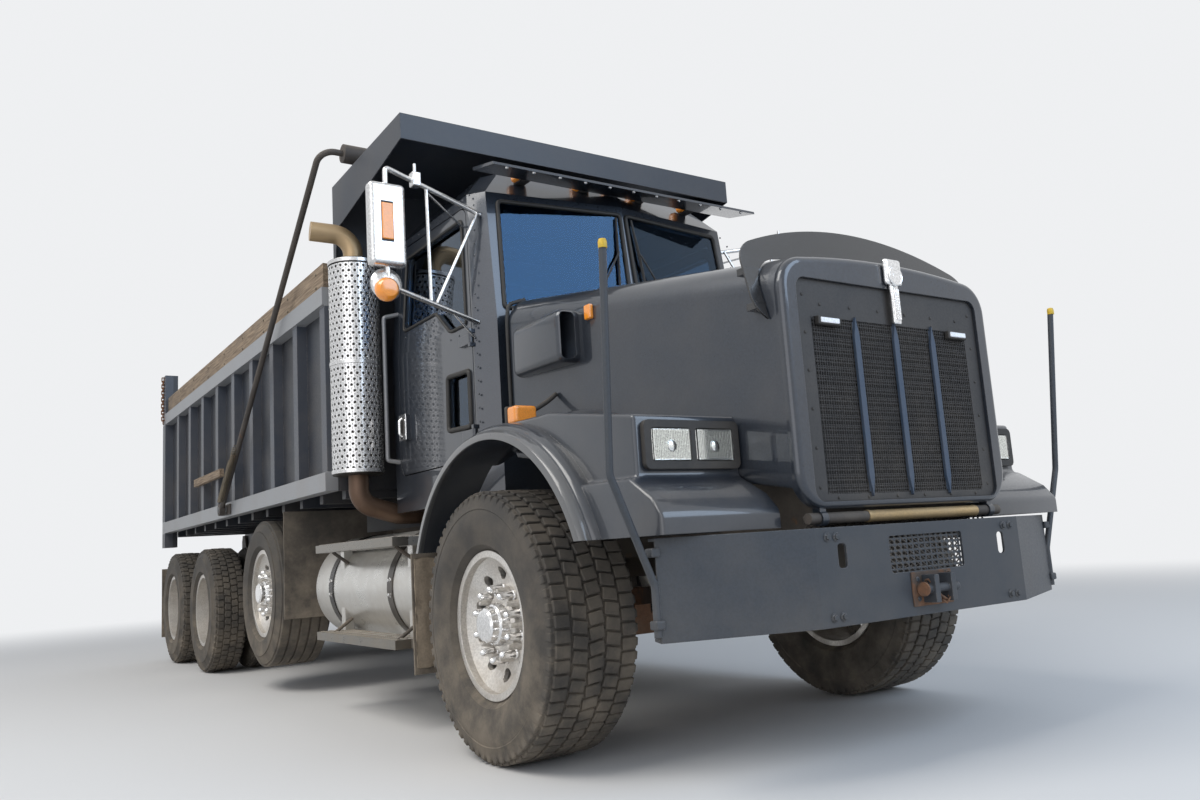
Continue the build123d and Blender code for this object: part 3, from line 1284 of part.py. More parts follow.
with BuildPart() as tarp_bail:
    tube(
        [
            (-BAIL_X, station(BAIL_AT), BAIL_Z), (-BAIL_X, station(BAIL_TOP_AT), BAIL_TOP_Z),
            (BAIL_X, station(BAIL_TOP_AT), BAIL_TOP_Z), (BAIL_X, station(BAIL_AT), BAIL_Z),
        ],
        BAIL_TUBE, 90,
    )
    rod((-1140, station(BAIL_TOP_AT), BAIL_TOP_Z), (1140, station(BAIL_TOP_AT), BAIL_TOP_Z), 56)
    for _, side in SIDES:
        rod((side * (BAIL_X - 20), station(BAIL_AT), BAIL_Z), (side * (BAIL_X + 20), station(BAIL_AT), BAIL_Z), 46)
        rod(
            (side * (BAIL_X - 60), station(BAIL_AT), BAIL_Z), (side * (BAIL_X + 60), station(BAIL_AT), BAIL_Z),
            BAIL_PIN + RUNNING_GAP, mode=Mode.SUBTRACT,
        )
save(tarp_bail.part, "tarp_bail")

# Hoist cylinder between the frame and the bed

foot = Vector(0, station(HOIST_FOOT[0]), HOIST_FOOT[1])
eye = Vector(0, station(HOIST_EYE[0]), HOIST_EYE[1])
along = (eye - foot).normalized()
closed = (eye - foot).length
gland = foot + along * (closed - HOIST_STUB)

with BuildPart() as hoist_barrel:
    rod(foot, foot + along * 120, HOIST_NECK)
    rod(foot + along * 112, gland, HOIST_BARREL)
    rod((-HOIST_EYE_HALF, foot.Y, foot.Z), (HOIST_EYE_HALF, foot.Y, foot.Z), 52)
    rod(foot + along * 130, gland + along, HOIST_ROD + RUNNING_GAP, mode=Mode.SUBTRACT)
    rod(
        (-HOIST_LUG_OUT, foot.Y, foot.Z), (HOIST_LUG_OUT, foot.Y, foot.Z), HOIST_PIN + RUNNING_GAP,
        mode=Mode.SUBTRACT,
    )
save(hoist_barrel.part, "hoist_barrel")

with BuildPart() as hoist_rod:
    rod(foot + along * 140, eye - along * 30, HOIST_ROD)
    rod(eye - along * 40, eye, HOIST_NECK)
    rod((-HOIST_EYE_HALF, eye.Y, eye.Z), (HOIST_EYE_HALF, eye.Y, eye.Z), 46)
    rod(
        (-HOIST_LUG_OUT, eye.Y, eye.Z), (HOIST_LUG_OUT, eye.Y, eye.Z), HOIST_PIN + RUNNING_GAP,
        mode=Mode.SUBTRACT,
    )
save(hoist_rod.part, "hoist_rod")
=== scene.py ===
"""A four-axle dump truck dressed for its portrait: paint, tyres, bright work, trim, stage and camera.

All lengths are metres in the truck's own frame: the front faces -Y, +X is the left side and the tyres
stand on Z = 0. Places along the truck are counted back from the steer axle by back().
"""
import json
import math

import bpy
from bpy.props import FloatProperty, FloatVectorProperty, IntProperty, PointerProperty
from mathutils import Matrix, Vector


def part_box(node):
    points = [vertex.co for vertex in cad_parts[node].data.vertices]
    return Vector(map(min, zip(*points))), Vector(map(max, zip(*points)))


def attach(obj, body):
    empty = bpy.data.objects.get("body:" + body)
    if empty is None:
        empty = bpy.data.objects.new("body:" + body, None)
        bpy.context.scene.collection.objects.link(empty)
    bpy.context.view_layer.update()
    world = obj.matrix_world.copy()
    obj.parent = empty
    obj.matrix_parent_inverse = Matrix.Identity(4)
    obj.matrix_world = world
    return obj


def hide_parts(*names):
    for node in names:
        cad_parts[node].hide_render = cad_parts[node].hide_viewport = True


bl_info = {
    "name": "Dump Truck Finish",
    "version": (1, 0, 0),
    "blender": (4, 5, 0),
    "location": "3D View > Sidebar > Truck",
    "description": "Dresses the dump truck: finishes, tyres, bright work, trim, stage and camera",
    "category": "Object",
}

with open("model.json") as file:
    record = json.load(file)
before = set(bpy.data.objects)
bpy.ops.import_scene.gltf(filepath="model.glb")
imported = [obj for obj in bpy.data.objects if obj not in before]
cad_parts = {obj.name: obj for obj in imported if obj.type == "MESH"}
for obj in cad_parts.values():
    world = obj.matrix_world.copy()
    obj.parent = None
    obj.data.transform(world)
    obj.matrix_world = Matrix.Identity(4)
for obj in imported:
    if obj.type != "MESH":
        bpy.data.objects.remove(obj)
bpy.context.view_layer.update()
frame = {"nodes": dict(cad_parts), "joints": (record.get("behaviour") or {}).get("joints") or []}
NODES = frame["nodes"]
JOINTS = {joint["name"]: joint for joint in frame["joints"]}
STEER_Y = JOINTS["steer_right"]["pos_m"][1]
SIDES = (("right", -1), ("left", 1))


def back(distance):
    """Y of a place that lies this far behind the steer axle."""
    return STEER_Y + distance


# Tyres: outer radius, section width, tread width, half width of the rim, rows, and the blocks round a row,
# where none makes plain ribs; then the distance between twins and the radius of every bead
STEER_TYRE = {"radius": 0.549, "width": 0.422, "tread": 0.37, "rim": 0.156, "rows": 5, "blocks": 62}
LIFT_TYRE = {"radius": 0.505, "width": 0.385, "tread": 0.32, "rim": 0.149, "rows": 5, "blocks": 0}
DRIVE_TYRE = {"radius": 0.52, "width": 0.279, "tread": 0.216, "rim": 0.105, "rows": 4, "blocks": 56}
TWIN_SPACING = 0.335
BEAD = 0.288

# Wheel studs: radius of their circle and how many stand on it
STUD_CIRCLE = 0.142875
STUDS = 10

# Fender: centre of its arch, its rolled section as (along X, radius), the side outlines of what stands ahead
# of the wheel as distance behind the steer axle and height, and the plan that trims it all
ARCH_AT, ARCH_Z = -0.05, 0.56
FENDER_ROLL = (
    (1.188, 0.742), (1.2, 0.742), (1.2, 0.758), (1.197, 0.77), (1.188, 0.778), (1.175, 0.783), (1.16, 0.785),
    (1.158, 0.793), (1.151, 0.8005), (1.137, 0.8065), (1.119, 0.8105), (1.098, 0.812), (0.91, 0.812),
    (0.89, 0.815), (0.868, 0.823), (0.842, 0.838), (0.815, 0.854), (0.79, 0.866), (0.765, 0.873),
    (0.74, 0.876), (0.59, 0.876), (0.59, 0.864), (0.74, 0.864), (0.765, 0.861), (0.79, 0.854),
    (0.815, 0.842), (0.842, 0.826), (0.868, 0.811), (0.89, 0.803), (0.91, 0.8), (1.098, 0.8),
    (1.146, 0.776), (1.188, 0.76), (1.188, 0.742),
)
POD = ((-0.05, 1.372), (-0.43, 1.366), (-0.98, 1.276), (-0.98, 1.04), (-0.05, 1.04))
SKIRT = ((-0.05, 1.07), (-0.98, 1.058), (-1.1, 0.985), (-1.15, 0.925), (-1.15, 0.82), (-0.05, 0.82))
SKIRT_ROOM = ((-0.06, 1.03), (-0.975, 1.03), (-1.092, 0.968), (-1.134, 0.918), (-1.134, 0.81), (-0.06, 0.81))
FENDER_PLAN = (
    (0.6086, -1.155), (0.801, 0.368), (0.926, 0.368), (0.926, 0.8), (1.2005, 0.8), (1.2005, -1.155),
)

# Cab: its half width up to the waist and how much it narrows above, the face of the door's handle plate, and
# the door's windows as distance behind the steer axle and height
CAB_HALF, CAB_WAIST, CAB_LEAN = 0.89, 2, 0.038 / 0.68
HANDLE_FACE = 0.918
DOOR_WINDOW = ((0.64, 1.985), (0.83, 1.985), (1.01, 2.13), (1.455, 2.13), (1.43, 2.56), (0.71, 2.56))
PEEP_WINDOW = ((0.63, 1.465), (0.89, 1.475), (0.88, 1.755), (0.63, 1.745))

# Windscreen: the foot of its middle post, the two directions of the left pane and its outline along and up
SCREEN_AT, SCREEN_Z = 0.385, 2
SCREEN_ACROSS, SCREEN_RISE = (0.99228, 0.12403, 0), (-0.01544, 0.12354, 0.99236)
SCREEN = ((0.028, 0.045), (0.761, 0.045), (0.744, 0.635), (0.028, 0.635))

# Nose: distance of the grille's panel and the bumper's face, and the places of its lamps across the truck
GRILLE_PANEL, BUMPER_FRONT = -1.2393, -1.282
HEADLAMP_X, HEADLAMP_Z = 0.85, 1.17
ROOF_LAMPS = (-0.56, -0.19, 0, 0.19, 0.56)

# Mirror heads, the exhaust shield (middle, radius, foot, head and columns of holes), and the ends of the tarp
# arm as distance and height
MIRROR_X = 1.385
STACK_X, STACK_AT, STACK_RADIUS = -1.085, 1.705, 0.1445
STACK_LOW, STACK_HIGH, STACK_COLUMNS = 1.345, 2.575, 27
BAIL_FOOT, BAIL_HEAD = (4.226, 1.31), (1.69, 3.262)

# Bare metal at chipped edges, and what the stage is made of
WORN_EDGE = (0.22, 0.21, 0.2)
FLOOR_COLOUR = (0.7, 0.69, 0.675)
BACKDROP = (0.86, 0.87, 0.885)
SKYLIGHT = (0.8, 0.86, 0.95)

# Lights: name, place with its distance behind the steer axle, size, power and colour
LIGHTS = (
    ("Key", (-8, 1, 11), 7, 900, (1, 0.97, 0.92)),
    ("Fill", (3.5, -10, 8), 8, 720, (0.6, 0.77, 1)),
    ("Side", (-10, -6, 4.5), 9, 260, (0.98, 0.97, 1)),
)

# Camera: place, bearing, rise and roll in degrees, lens in millimetres on a 36 mm wide picture
CAMERA_PLACE = (-2.99985, -3.5637, 0.8338)
CAMERA_BEARING = -34.53
CAMERA_RISE = 8.808
CAMERA_ROLL = -3.727
CAMERA_LENS = 28.47


class TruckColours(bpy.types.PropertyGroup):
    """Colours of the truck's finishes."""

    cab: FloatVectorProperty(
        name="Cab paint", description="Paint of cab, hood and fenders", subtype="COLOR",
        default=(0.016, 0.023, 0.035), min=0, max=1,
    )
    bed: FloatVectorProperty(
        name="Bed paint", description="Paint of the dump bed", subtype="COLOR",
        default=(0.014, 0.02, 0.031), min=0, max=1,
    )
    rail: FloatVectorProperty(
        name="Rail paint", description="Chalky paint of the bed's rails", subtype="COLOR",
        default=(0.24, 0.25, 0.265), min=0, max=1,
    )
    bumper: FloatVectorProperty(
        name="Bumper steel", description="Flat grey of the bumper", subtype="COLOR",
        default=(0.026, 0.033, 0.043), min=0, max=1,
    )
    dust: FloatVectorProperty(
        name="Road dust", description="Dry dust that settles low on the truck", subtype="COLOR",
        default=(0.3, 0.25, 0.19), min=0, max=1,
    )
    rust: FloatVectorProperty(
        name="Rust", description="Rust on bare and chipped steel", subtype="COLOR",
        default=(0.16, 0.065, 0.028), min=0, max=1,
    )
    rubber: FloatVectorProperty(
        name="Tyre rubber", description="Weathered rubber of tyres", subtype="COLOR",
        default=(0.034, 0.032, 0.03), min=0, max=1,
    )
    amber: FloatVectorProperty(
        name="Amber lens", description="Amber of marker lamps", subtype="COLOR",
        default=(0.85, 0.28, 0.02), min=0, max=1,
    )


class TruckSizes(bpy.types.PropertyGroup):
    """Sizes of the pieces that dress the truck."""

    tread_depth: FloatProperty(
        name="Tread depth", description="Height of a tread block", default=0.015, unit="LENGTH",
    )
    cover_length: FloatProperty(
        name="Nut cover", description="Length of a bright wheel nut cover", default=0.078, unit="LENGTH",
    )
    seal: FloatProperty(
        name="Window seal", description="Radius of the rubber round a window", default=0.009, unit="LENGTH",
    )
    hole: FloatProperty(
        name="Shield hole", description="Radius of a hole in the exhaust shield", default=0.0085,
        unit="LENGTH",
    )
    grille_wires: IntProperty(
        name="Grille wires", description="Level wires across the grille", default=54, min=8, max=90,
    )


def colours():
    """The colours set for this scene."""
    return bpy.context.scene.truck_colours


def sizes():
    """The sizes set for this scene."""
    return bpy.context.scene.truck_sizes


# Modelling helpers


def select(*objects):
    """Make these objects the only selected ones, the first of them active."""
    bpy.ops.object.select_all(action="DESELECT")
    for item in objects:
        item.select_set(True)
    bpy.context.view_layer.objects.active = objects[0]


def settle(piece):
    """Move a piece's place, turn and size into its mesh."""
    select(piece)
    bpy.ops.object.transform_apply(location=True, rotation=True, scale=True)
    return piece


def started(name):
    """Name the object that a primitive operator has just made."""
    piece = bpy.context.object
    piece.name = name
    piece.data.name = name
    return piece


def modify(piece, kind, **values):
    """Add a modifier with these values and apply it."""
    select(piece)
    modifier = piece.modifiers.new(kind.title(), kind)
    for key, value in values.items():
        setattr(modifier, key, value)
    bpy.ops.object.modifier_apply(modifier=modifier.name)
    return piece


def smooth(piece, angle=35):
    """Shade smooth, with edges sharper than the angle kept crisp."""
    select(piece)
    bpy.ops.object.shade_smooth_by_angle(angle=math.radians(angle))
    return piece


def joined(name, pieces):
    """Join pieces into one object."""
    select(*pieces)
    if len(pieces) > 1:
        bpy.ops.object.join()
    return started(name)


def slab(name, low, high, bevel=0.003, segments=2):
    """A bevelled block between two corners."""
    bpy.ops.object.select_all(action="DESELECT")
    middle = [(a + b) / 2 for a, b in zip(low, high)]
    bpy.ops.mesh.primitive_cube_add(size=1, location=middle, scale=[abs(b - a) for a, b in zip(low, high)])
    piece = settle(started(name))
    if bevel:
        modify(piece, "BEVEL", width=bevel, segments=segments, limit_method="ANGLE")
    return piece


def opened(piece):
    """Enter edit mode with all of a piece selected."""
    select(piece)
    bpy.ops.object.mode_set(mode="EDIT")
    bpy.ops.mesh.select_all(action="SELECT")
    return piece


def cleaned(piece, merge=0, close=False):
    """Merge points this close, close what is open if asked, and turn the normals outward."""
    opened(piece)
    if merge:
        bpy.ops.mesh.remove_doubles(threshold=merge)
    if close:
        bpy.ops.mesh.fill_holes(sides=0)
    bpy.ops.mesh.normals_make_consistent(inside=False)
    bpy.ops.object.mode_set(mode="OBJECT")
    return piece


def edge_line(name, places):
    """A line of edges through the places, drawn out from a merged plane and left in edit mode."""
    bpy.ops.object.select_all(action="DESELECT")
    bpy.ops.mesh.primitive_plane_add(size=0.01)
    piece = opened(started(name))
    bpy.ops.mesh.merge(type="CENTER")
    bpy.ops.transform.translate(value=places[0])
    for here, there in zip(places, places[1:]):
        bpy.ops.mesh.extrude_vertices_move(TRANSFORM_OT_translate={"value": there - here})
    return piece


def block(name, x, half, ahead, behind, low, high, bevel=0.003, segments=2):
    """A bevelled block about a place across the truck, between two distances and two heights."""
    return slab(name, (x - half, back(ahead), low), (x + half, back(behind), high), bevel, segments)


def side_block(name, side, inner, outer, ahead, behind, low, high, bevel=0.003, segments=2):
    """A bevelled block on one side, between two distances from the truck's middle."""
    near, far = sorted((side * inner, side * outer))
    return slab(name, (near, back(ahead), low), (far, back(behind), high), bevel, segments)


def path(side, *places):
    """Places on one side, each given from the middle, behind the steer axle and up."""
    return [(side * across, back(distance), height) for across, distance, height in places]


def turned(name, points, steps=48):
    """A form turned about the X axis from a profile of (along X, radius) points."""
    piece = edge_line(name, [Vector((along, 0, radius)) for along, radius in points])
    bpy.ops.object.mode_set(mode="OBJECT")
    modify(
        piece, "SCREW", axis="X", angle=math.tau, steps=steps, render_steps=steps, use_merge_vertices=True,
        merge_threshold=0.0001, use_smooth_shade=True,
    )
    return smooth(cleaned(piece, merge=0.0002))


def eased(points, ease, closed=False):
    """Points with each corner set between two more, so that a smooth curve turns close to it."""
    line = [Vector(point) for point in points]
    made = []
    for index, here in enumerate(line):
        if not closed and index in (0, len(line) - 1):
            made.append(here)
            continue
        before = (line[index - 1] - here).normalized() * ease
        after = (line[(index + 1) % len(line)] - here).normalized() * ease
        made += [here + before, here, here + after]
    return made


def bar(name, points, radius, closed=False, steps=8, ease=0):
    """A round bar along the points, its corners eased by a smooth curve."""
    if ease:
        points = eased(points, ease, closed)
    bpy.ops.object.select_all(action="DESELECT")
    bpy.ops.curve.primitive_nurbs_path_add()
    piece = started(name)
    piece.data.splines.clear()
    spline = piece.data.splines.new("NURBS")
    spline.points.add(len(points) - 1)
    for point, place in zip(spline.points, points):
        point.co = (*place, 1)
    spline.use_cyclic_u = closed
    spline.order_u = 3
    spline.use_endpoint_u = not closed
    spline.resolution_u = 6
    piece.data.bevel_depth = radius
    piece.data.bevel_resolution = max(1, steps // 4)
    piece.data.use_fill_caps = not closed
    select(piece)
    bpy.ops.object.convert(target="MESH")
    return smooth(settle(cleaned(started(name))), 50)


def ring_of(piece, count, axis="X"):
    """Repeat a piece round an axis through the origin."""
    bpy.ops.object.empty_add()
    turner = bpy.context.object
    turner.rotation_euler["XYZ".index(axis)] = math.tau / count
    bpy.context.view_layer.update()
    modify(
        piece, "ARRAY", count=count, use_relative_offset=False, use_object_offset=True, offset_object=turner,
    )
    bpy.data.objects.remove(turner)
    return piece


def row_of(piece, count, step):
    """Repeat a piece along a straight line."""
    return modify(
        piece, "ARRAY", count=count, use_relative_offset=False, use_constant_offset=True,
        constant_offset_displace=step,
    )


def placed(source, name, offset, turn=0, face=None):
    """A copy of a piece, with its own mesh, turned about Z or from +X to face a way, and moved."""
    piece = source.copy()
    piece.data = source.data.copy()
    piece.name = name
    piece.data.name = name
    bpy.context.scene.collection.objects.link(piece)
    piece.rotation_euler[2] = turn
    if face:
        piece.rotation_euler = Vector((1, 0, 0)).rotation_difference(Vector(face)).to_euler()
    piece.location = offset
    return settle(piece)


def spread(name, source, spots):
    """Copies of a small piece at each spot of place and facing, joined; the source goes."""
    copies = [placed(source, "copy", spot, face=face) for spot, face in spots]
    bpy.data.objects.remove(source)
    return joined(name, copies)


def dome(radius, height, steps=8):
    """A round rivet head about X."""
    return turned("dome", [
        (-0.001, 0), (-0.001, radius), (height * 0.45, radius * 0.86), (height * 0.85, radius * 0.5),
        (height, 0),
    ], steps)


def bolt(radius, height):
    """A hexagon bolt head on its washer, about X."""
    washer = turned("washer", [
        (-0.001, 0), (-0.001, radius * 1.5), (height * 0.2, radius * 1.5), (height * 0.22, 0),
    ], 12)
    head = turned("head", [
        (0, 0), (0, radius), (height * 0.85, radius), (height, radius * 0.85), (height, 0),
    ], 6)
    return joined("bolt", [washer, head])


def prism(name, outline, axis, low, high):
    """A straight-sided block: an outline of (Y, Z) or (X, Y) places, drawn out along X or Z."""
    piece = edge_line(name, [Vector((low, a, b)) if axis == "X" else Vector((a, b, low)) for a, b in outline])
    bpy.ops.mesh.select_all(action="SELECT")
    bpy.ops.mesh.edge_face_add()
    along = Vector((high - low, 0, 0)) if axis == "X" else Vector((0, 0, high - low))
    bpy.ops.mesh.extrude_region_move(TRANSFORM_OT_translate={"value": along})
    bpy.ops.object.mode_set(mode="OBJECT")
    return cleaned(piece)


def combined(piece, other, operation):
    """Add, cut or keep a piece by another one, which goes."""
    modify(piece, "BOOLEAN", operation=operation, object=other, solver="EXACT")
    bpy.data.objects.remove(other)
    return piece


def cut_away(piece, place, normal):
    """Cut a piece by a plane, drop what lies outside and close the cut."""
    opened(piece)
    bpy.ops.mesh.bisect(plane_co=place, plane_no=normal, use_fill=True, clear_outer=True)
    bpy.ops.object.mode_set(mode="OBJECT")
    return piece


def lattice(name, low, high, pitch=0.017, wire=0.0018, slope=34):
    """Expanded metal in the XZ plane, cut to a window between two corners."""
    reach = high[0] - low[0] + high[2] - low[2]
    middle = Vector([(a + b) / 2 for a, b in zip(low, high)])
    layers = []
    for lean, shift in ((slope, -wire), (-slope, wire)):
        strand = slab("strand", (-reach, -wire, -wire), (reach, wire, wire), 0)
        count = int(2 * reach / pitch)
        row_of(strand, count, (0, 0, pitch))
        strand.location = (0, 0, -count * pitch / 2)
        settle(strand)
        strand.rotation_euler[1] = math.radians(lean)
        strand.location = middle + Vector((0, shift, 0))
        layers.append(settle(strand))
    piece = joined(name, layers)
    for place, normal in ((low, (-1, 0, 0)), (low, (0, 0, -1)), (high, (1, 0, 0)), (high, (0, 0, 1))):
        cut_away(piece, place, normal)
    return piece


def coil(name, low, high, radius, wire, turns):
    """A coil spring between two places."""
    low, high = Vector(low), Vector(high)
    bpy.ops.object.select_all(action="DESELECT")
    bpy.ops.mesh.primitive_circle_add(
        vertices=6, radius=wire, location=(0, 0, radius), rotation=(math.pi / 2, 0, 0), fill_type="NGON",
    )
    piece = settle(started(name))
    modify(
        piece, "SCREW", axis="X", angle=math.tau, screw_offset=(high - low).length / turns, iterations=turns,
        steps=12, render_steps=12,
    )
    piece.rotation_euler = Vector((1, 0, 0)).rotation_difference(high - low).to_euler()
    piece.location = low
    return smooth(cleaned(settle(piece), close=True), 60)


def chain(name, points, link=0.03, wire=0.0042):
    """Oval links along a line of points, each turned a quarter from the last."""
    half, bend = link / 2, link * 0.27
    oval = [
        (-half, 0), (-half, bend), (-half * 0.4, bend), (half * 0.4, bend), (half, bend), (half, 0),
        (half, -bend), (half * 0.4, -bend), (-half * 0.4, -bend), (-half, -bend),
    ]
    flat = bar("flat", [(x, y, 0) for x, y in oval], wire, True, 4)
    stood = bar("stood", [(x, 0, y) for x, y in oval], wire, True, 4)
    pitch = link * 0.74
    links = []
    for start, end in zip(points, points[1:]):
        start, end = Vector(start), Vector(end)
        count = max(1, round((end - start).length / pitch))
        for step in range(count):
            source = flat if len(links) % 2 else stood
            links.append(placed(source, "link", start.lerp(end, (step + 0.5) / count), face=end - start))
    for source in (flat, stood):
        bpy.data.objects.remove(source)
    return joined(name, links)


def both_sides(piece):
    """Add the mirror image across the truck's centre plane."""
    return modify(piece, "MIRROR", use_axis=(True, False, False), use_mirror_merge=False)


# Shader helpers and groups


def put(tree, target, value):
    """Feed an input with a number, a colour or another node's output."""
    if isinstance(value, bpy.types.NodeSocket):
        tree.links.new(value, target)
    elif isinstance(value, (int, float)):
        target.default_value = value
    else:
        target.default_value = (*value[:3], 1)


def fill(tree, node, values):
    """Feed several inputs of a node, each given by its name or number."""
    for label, value in values.items():
        put(tree, node.inputs[label], value)


def add_node(tree, kind, **settings):
    """A new shader node with some of its settings."""
    node = tree.nodes.new("ShaderNode" + kind)
    for key, value in settings.items():
        setattr(node, key, value)
    return node


def math_node(tree, operation, first, second=None, clamp=False):
    """A maths node's value; an input is a number or another node's output."""
    node = add_node(tree, "Math", operation=operation, use_clamp=clamp)
    fill(tree, node, {0: first} if second is None else {0: first, 1: second})
    return node.outputs[0]


def times(tree, first, second, clamp=False):
    """The product of two values."""
    return math_node(tree, "MULTIPLY", first, second, clamp)


def plus(tree, first, second, clamp=False):
    """The sum of two values."""
    return math_node(tree, "ADD", first, second, clamp)


def inverse(tree, value):
    """1 less a value."""
    return math_node(tree, "SUBTRACT", 1, value)


def ramp_value(tree, value, low, high, out_low=0, out_high=1):
    """Map a value from one range to another, smoothly and clamped."""
    node = add_node(tree, "MapRange", interpolation_type="SMOOTHSTEP")
    fill(tree, node, {
        "Value": value, "From Min": low, "From Max": high, "To Min": out_low, "To Max": out_high,
    })
    return node.outputs["Result"]


def noise(tree, vector, scale, detail=4, roughness=0.55):
    """A noise texture's value."""
    node = add_node(tree, "TexNoise")
    fill(tree, node, {"Vector": vector, "Scale": scale, "Detail": detail, "Roughness": roughness})
    return node.outputs["Fac"]


def object_point(tree):
    """Object coordinates and their three parts."""
    point = add_node(tree, "TexCoord").outputs["Object"]
    parts = add_node(tree, "SeparateXYZ")
    put(tree, parts.inputs[0], point)
    return point, parts.outputs


def mixed(tree, factor, first, second):
    """A colour mix; each colour is a tuple or another node's output."""
    node = add_node(tree, "Mix", data_type="RGBA")
    fill(tree, node, {0: factor, 6: first, 7: second})
    return node.outputs[2]


def new_group(name, inputs, outputs):
    """A new shader group, what it is given and the node for its results; only a Normal is a vector."""
    group = bpy.data.node_groups.new(name, "ShaderNodeTree")
    for label, value in inputs.items():
        group.interface.new_socket(label, in_out="INPUT", socket_type="NodeSocketFloat").default_value = value
    for label in outputs:
        kind = "Vector" if label == "Normal" else "Float"
        group.interface.new_socket(label, in_out="OUTPUT", socket_type="NodeSocket" + kind)
    return group, group.nodes.new("NodeGroupInput").outputs, group.nodes.new("NodeGroupOutput")


def build_dust_group():
    """Dust settles low on the truck, on what faces up, and in uneven clouds."""
    group, given, result = new_group("Settled dust", {"Amount": 0.4, "Reach": 2.2, "Scale": 3}, ("Mask",))
    point, parts = object_point(group)
    low = ramp_value(group, parts["Z"], 0.2, given["Reach"], 1, 0.25)
    normal = add_node(group, "SeparateXYZ")
    put(group, normal.inputs[0], add_node(group, "NewGeometry").outputs["Normal"])
    upward = ramp_value(group, normal.outputs["Z"], 0.2, 0.95, 0, 0.45)
    cloud = ramp_value(group, noise(group, point, given["Scale"], 7, 0.62), 0.3, 0.72)
    rough = plus(group, cloud, times(group, noise(group, point, 95, 3), 0.35))
    total = times(group, plus(group, low, upward), rough)
    fill(group, result, {"Mask": times(group, total, given["Amount"], True)})


def build_wear_group():
    """Edges lose their paint: the softened normal is set against the flat one."""
    group, given, result = new_group("Edge wear", {"Amount": 0.5, "Radius": 0.006}, ("Mask", "Normal"))
    bevel = add_node(group, "Bevel", samples=4)
    put(group, bevel.inputs["Radius"], given["Radius"])
    dot = add_node(group, "VectorMath", operation="DOT_PRODUCT")
    fill(group, dot, {0: bevel.outputs["Normal"], 1: add_node(group, "NewGeometry").outputs["Normal"]})
    edge = ramp_value(group, inverse(group, dot.outputs["Value"]), 0.02, 0.16)
    chips = ramp_value(group, noise(group, object_point(group)[0], 38, 5, 0.7), 0.42, 0.62)
    mask = times(group, times(group, edge, chips), given["Amount"], True)
    fill(group, result, {"Mask": mask, "Normal": bevel.outputs["Normal"]})


def build_rust_group():
    """Rust blooms in patches with a mottled inside."""
    group, given, result = new_group("Rust bloom", {"Amount": 0.5, "Scale": 5}, ("Mask", "Mottle"))
    point, _ = object_point(group)
    limit = math_node(group, "SUBTRACT", 0.86, times(group, given["Amount"], 0.55))
    cloud = noise(group, point, given["Scale"], 9, 0.68)
    mask = ramp_value(group, cloud, limit, plus(group, limit, 0.1))
    fill(group, result, {"Mask": mask, "Mottle": noise(group, point, 60, 6, 0.7)})


def build_grain_group():
    """Fine unevenness of a surface, as a height and a value for roughness."""
    group, given, result = new_group("Surface grain", {"Scale": 120, "Waves": 4}, ("Height", "Value"))
    point, _ = object_point(group)
    fine = noise(group, point, given["Scale"], 3)
    height = plus(group, times(group, fine, 0.25), noise(group, point, given["Waves"], 2))
    fill(group, result, {"Height": height, "Value": fine})


def group_node(tree, name, **values):
    """The outputs of a shader group placed in a material with its own values."""
    node = add_node(tree, "Group", node_tree=bpy.data.node_groups[name])
    for label, value in values.items():
        node.inputs[label.title()].default_value = value
    return node.outputs


def blank_material(name):
    """A new material and its Principled shader."""
    material = bpy.data.materials.new(name)
    material.use_nodes = True
    return material.node_tree, material.node_tree.nodes["Principled BSDF"]


def zone(tree, axis, low, high, absolute=False):
    """1 inside a band along an axis of the object's coordinates, 0 outside."""
    value = object_point(tree)[1][axis]
    if absolute:
        value = math_node(tree, "ABSOLUTE", value)
    return times(tree, math_node(tree, "GREATER_THAN", value, low), math_node(tree, "LESS_THAN", value, high))


def weathered(
    name, colour, roughness, metallic, coat, dust, reach, wear, rust, bump, coat_roughness=0.06, dust_scale=3,
    rust_scale=5, radius=0.005, grain=120, waves=4, tint=None,
):
    """A finish with settled dust, chipped edges, rust and fine grain; a tint may recolour its zones."""
    tree, shader = blank_material(name)
    base = tint(tree, colour) if tint else colour
    lighter = base if tint else [part * 1.25 for part in colour]
    grained = group_node(tree, "Surface grain", scale=grain, waves=waves)
    shade = mixed(tree, ramp_value(tree, grained["Value"], 0.35, 0.65), base, lighter)
    rough = ramp_value(tree, grained["Value"], 0.3, 0.7, roughness * 0.88, min(1, roughness * 1.14))
    edges = group_node(tree, "Edge wear", amount=wear, radius=radius)
    if wear:
        shade = mixed(tree, edges["Mask"], shade, WORN_EDGE)
        rough = plus(tree, rough, times(tree, edges["Mask"], 0.15))
    if rust:
        bloom = group_node(tree, "Rust bloom", amount=rust, scale=rust_scale)
        dark, light = ([part * share for part in colours().rust] for share in (0.45, 1.7))
        shade = mixed(tree, bloom["Mask"], shade, mixed(tree, bloom["Mottle"], dark, light))
        rough = plus(tree, rough, times(tree, bloom["Mask"], 0.35), True)
    mask = group_node(tree, "Settled dust", amount=dust, reach=reach, scale=dust_scale)["Mask"]
    rough = plus(tree, rough, times(tree, mask, 0.55), True)
    bumped = add_node(tree, "Bump")
    fill(tree, bumped, {
        "Strength": bump, "Distance": 0.01, "Height": grained["Height"], "Normal": edges["Normal"],
    })
    fill(tree, shader, {
        "Base Color": mixed(tree, mask, shade, colours().dust), "Roughness": rough,
        "Normal": bumped.outputs[0],
    })
    if metallic:
        covered = bloom["Mask"] if rust else mask
        put(tree, shader.inputs["Metallic"], times(tree, inverse(tree, covered), metallic))
    if coat:
        clean = times(tree, inverse(tree, mask), coat, True)
        fill(tree, shader, {"Coat Weight": clean, "Coat Roughness": coat_roughness})


